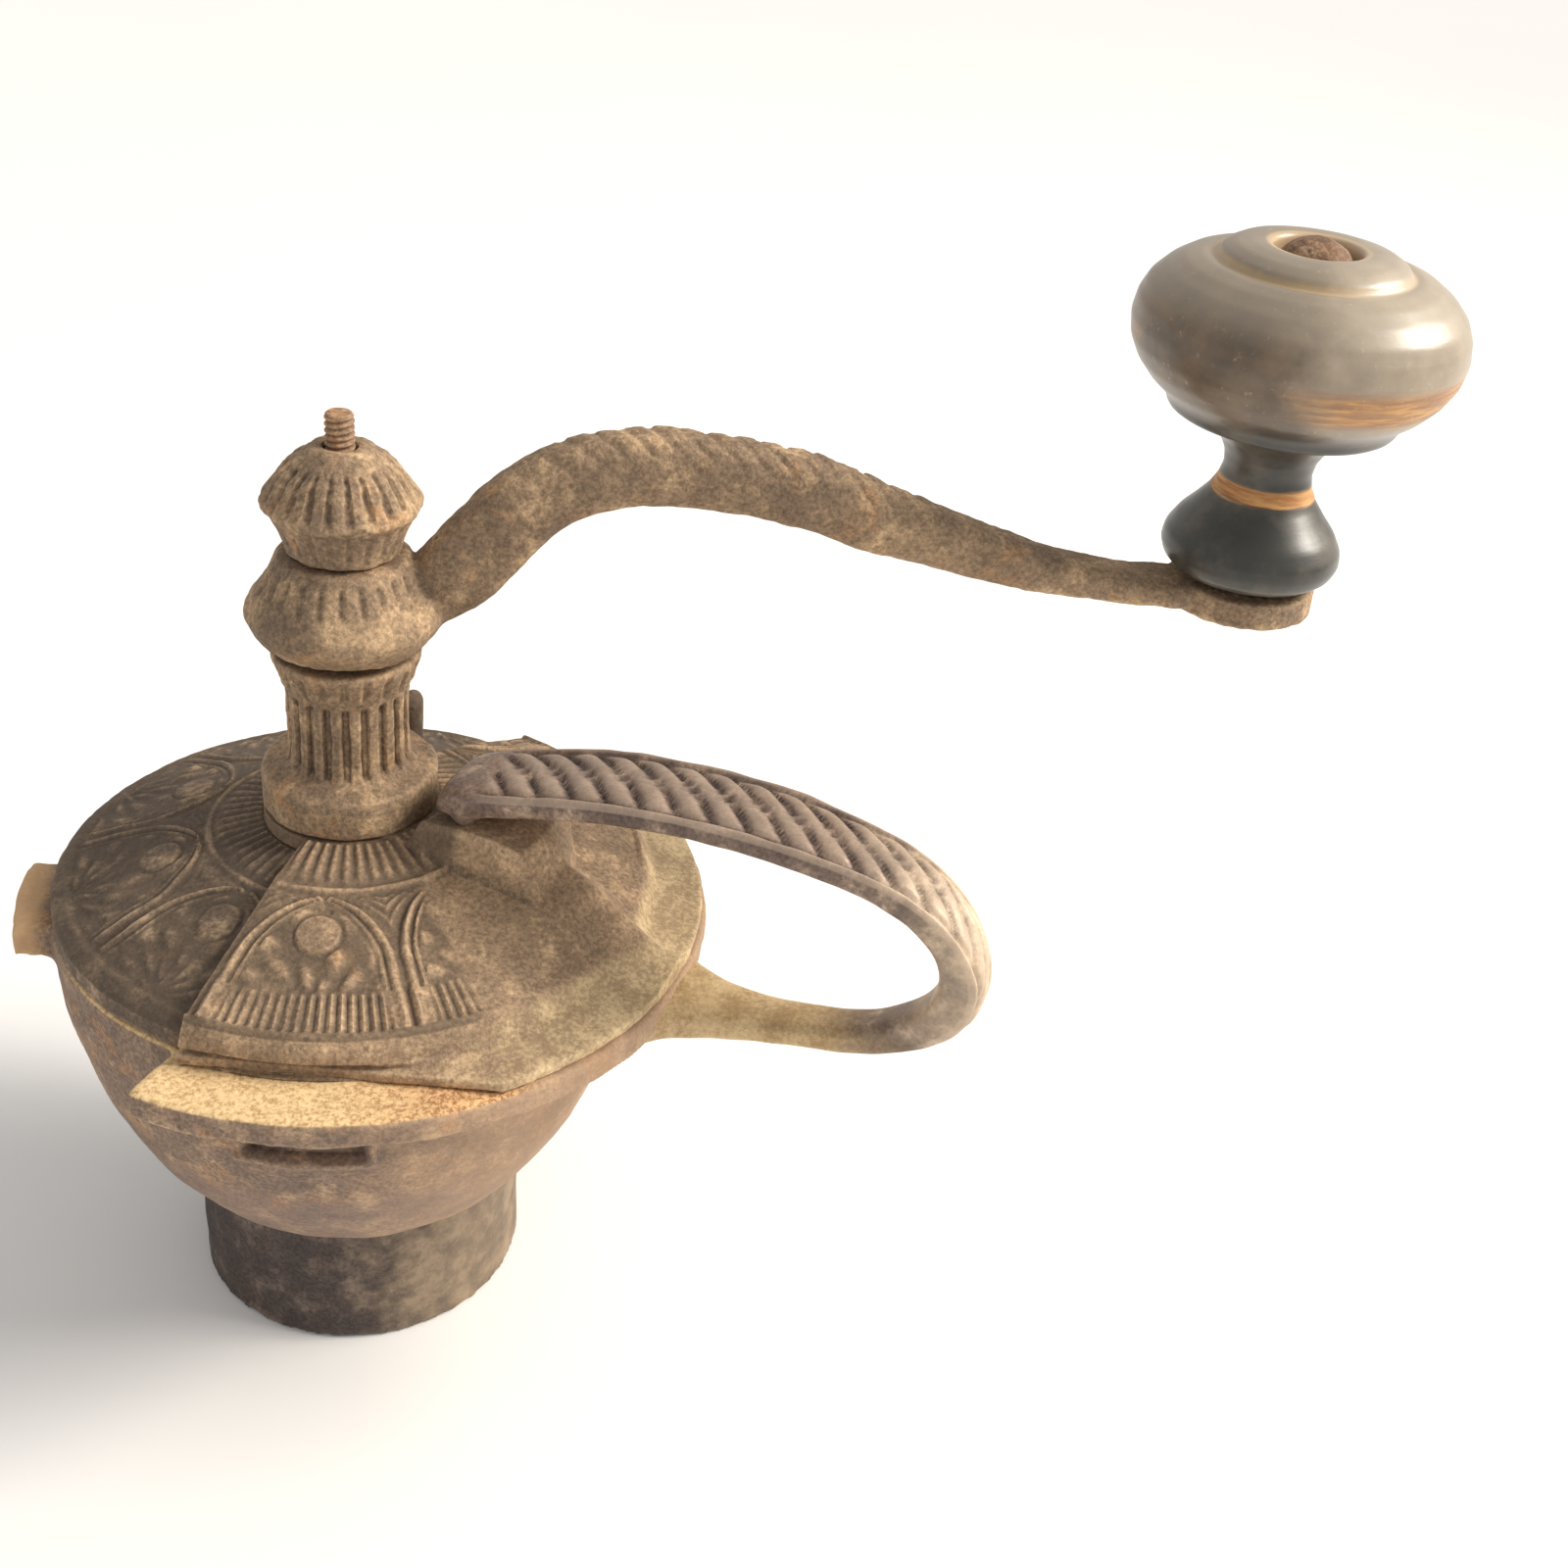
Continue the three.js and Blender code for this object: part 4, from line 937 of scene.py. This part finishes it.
aside = ink.node("SeparateXYZ", {}, {"Vector": place}, out="X") * 0.85
aside = aside - ink.node("SeparateXYZ", {}, {"Vector": place}, out="Y") * 0.5
aside = (aside + 0.012 * clouds - 0.85 * (AXIS.x + KNOB_X * MM) + 0.5 * AXIS.y).eased(0.006, 0.018)
rubbed = ink.maths("MAXIMUM", aside * (0.35 + streaks), patches.eased(0.58, 0.68))
bare = ink.maths("MAXIMUM", band(159.6, 0.9, 0.9), band(181.5, 1.6, 3.0) * rubbed)
mushroom = z_mm.eased(172, 178)
tone = ink.blend(mushroom * 0.4, paint, (0.17, 0.12, 0.075, 1))
tone = ink.blend(bare * 0.85, tone, wood)
spread = ink.node("Mapping", {"vector_type": "POINT"},
                  {"Vector": place, "Location": (-AXIS.x - KNOB_X * MM, -AXIS.y, 0),
                                                       "Scale": (1, 1, 0)})
from_middle = ink.node("VectorMath", {"operation": "LENGTH"}, {0: spread}, out=1) * 1000
top = z_mm.eased(190, 192)
groove = top * (1 - ink.maths("ABSOLUTE", from_middle - 16.0 + clouds * 1.2).eased(0.3, 1.1))
lip = top * (1 - ink.maths("ABSOLUTE", from_middle - 7.9 + clouds * 1.2).eased(0.4, 1.3))
tone = ink.blend(groove * (0.35 + patches * 0.8), tone, (0.5, 0.36, 0.2, 1))
tone = ink.blend(lip * 0.8, tone, (0.66, 0.42, 0.2, 1))
# Painted highlight on the right side of the mushroom.
tone = ink.blend(aside * (0.4 + clouds) * mushroom * (1 - bare) * 0.55, tone, (0.56, 0.47, 0.36, 1))
# Painted highlight on the knob's top.
tone = ink.blend(z_mm.eased(188, 194) * (1 - groove) * 0.45, tone, (0.42, 0.36, 0.28, 1))
tone = ink.blend(fine.eased(0.62, 0.75) * 0.25, tone, (0.6, 0.52, 0.4, 1))
low_coat = ink.blend(1 - mushroom, tone, ink.blend(clouds.eased(0.4, 0.7), (0.03, 0.029, 0.024, 1),
                                                   (0.1, 0.085, 0.065, 1)))
tone = ink.blend(bare, low_coat, tone)
height = streaks * 0.25 + clouds * 0.5 - bare * 0.25 + fine * 0.08
normal = ink.node("Bump", {}, {"Strength": 0.35, "Distance": 0.0004, "Height": height})
surface(ink, {"Base Color": tone, "Roughness": 0.3 + 0.22 * clouds + 0.15 * bare,
              "Coat Weight": 0.28 - 0.2 * bare,
              "Coat Roughness": 0.2, "Normal": normal})
seat(knob, "knob_turning", knob_paint, "crank_knob", ["knob"], (KNOB_X, 0), angle=70)

bolt_line = [(0, 136.0), (4.0, 136.0), (4.8, 136.5), (5.0, 137.4), (3.0, 137.5), (3.0, 194.3), (5.7, 194.5),
             (6.0, 195.2), (6.0, 196.6),
             (5.5, 197.9), (4.3, 199.2), (2.6, 200.1), (0, 200.5)]
bolt = spun(walked(bolt_line[::-1], 0.5, 1), each=6, closed=False)
wavy(bolt, 0.3, 2.2, 91)
bolt_iron = rusted("rough_rusty_bolt", (0.5, 0.36, 0.24, 1), (0.32, 0.2, 0.13, 1), (0.17, 0.1, 0.065, 1),
                   (0.42, 0.22, 0.1, 1), 0.6, 0.7)
seat(bolt, "bolt_turning", bolt_iron, "crank", ["knob_bolt"], (KNOB_X, 0), angle=50)


# ------------------------------------------------------------ rivet at the handle's root
# A hammered iron rivet that holds the bar to the hip.
rivet_low, rivet_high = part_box("handle_rivet")
rivet_x = ((rivet_low.x + rivet_high.x) / 2 - AXIS.x) / MM
rivet_y = ((rivet_low.y + rivet_high.y) / 2 - AXIS.y) / MM
rivet_top = (rivet_high.z - AXIS.z) / MM
rivet_line = [(0, rivet_top), (1.4, rivet_top - 0.15), (2.4, rivet_top - 0.9), (2.9, rivet_top - 2.2),
              (1.6, rivet_top - 2.4),
              (1.6, rivet_top - 12), (0, rivet_top - 12)]
rivet = spun(walked(rivet_line, 0.4, 1), each=12, closed=False)
wavy(rivet, 0.25, 1.8, 95)
seat(rivet, "rivet_turning", handle_iron, "mill_head", ["handle_rivet"],
     (rivet_x, rivet_y), angle=50)


# ------------------------------------------------------------ cover screws
# Three countersunk steel screws, driven up through the flange until their heads are flush.
SCREW_HEAD = {"r": 2.6, "proud": 0.3, "cone": 1.4, "shank_r": 1.3, "length": 2.6}
mill_steel = rusted("dull_mill_steel", (0.36, 0.32, 0.28, 1), (0.2, 0.175, 0.15, 1), (0.1, 0.085, 0.075, 1),
                    (0.3, 0.18, 0.1, 1), 0.3, 0.3)
under_z = RIM - FLANGE["thick"] - SCREW_HEAD["proud"]
for number in (1, 2, 3):
    low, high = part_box(f"cover_screw_{number}")
    middle = ((low + high) / 2 - AXIS) / MM
    top = under_z + SCREW_HEAD["proud"] + SCREW_HEAD["cone"]
    screw_line = [(0, under_z), (SCREW_HEAD["r"] - 0.3, under_z), (SCREW_HEAD["r"], under_z + 0.3),
                  (SCREW_HEAD["shank_r"], top),
                  (SCREW_HEAD["shank_r"], top + SCREW_HEAD["length"]), (0, top + SCREW_HEAD["length"])]
    screw = spun(screw_line, each=12, closed=False)
    name = f"cover_screw_{number}"
    seat(screw, f"flush_screw_{number}", mill_steel, "mill_head", [name],
         (middle.x, middle.y), angle=30)


# ---------------------------------------- mill and fixings that stay as the frame has them
# The steel burrs, bridge, screws, nut, washers, pad and ring keep their frame shapes and get a
# dull, lightly rusted steel or the collar's dark iron.
DARK_NODES = ("adjusting_bridge", "shutter_retaining_ring")
HIDDEN = {"hopper_bowl", "grinding_collar", "dome_cover", "shutter", "fluted_column", "side_handle",
          "crank_arm", "cap_nut",
          "spindle", "knob", "knob_bolt", "handle_rivet", "cover_screw_1", "cover_screw_2", "cover_screw_3"}
for name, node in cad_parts.items():
    if name in HIDDEN:
        continue
    node.data.materials.clear()
    node.data.materials.append(collar_iron if name in DARK_NODES else mill_steel)
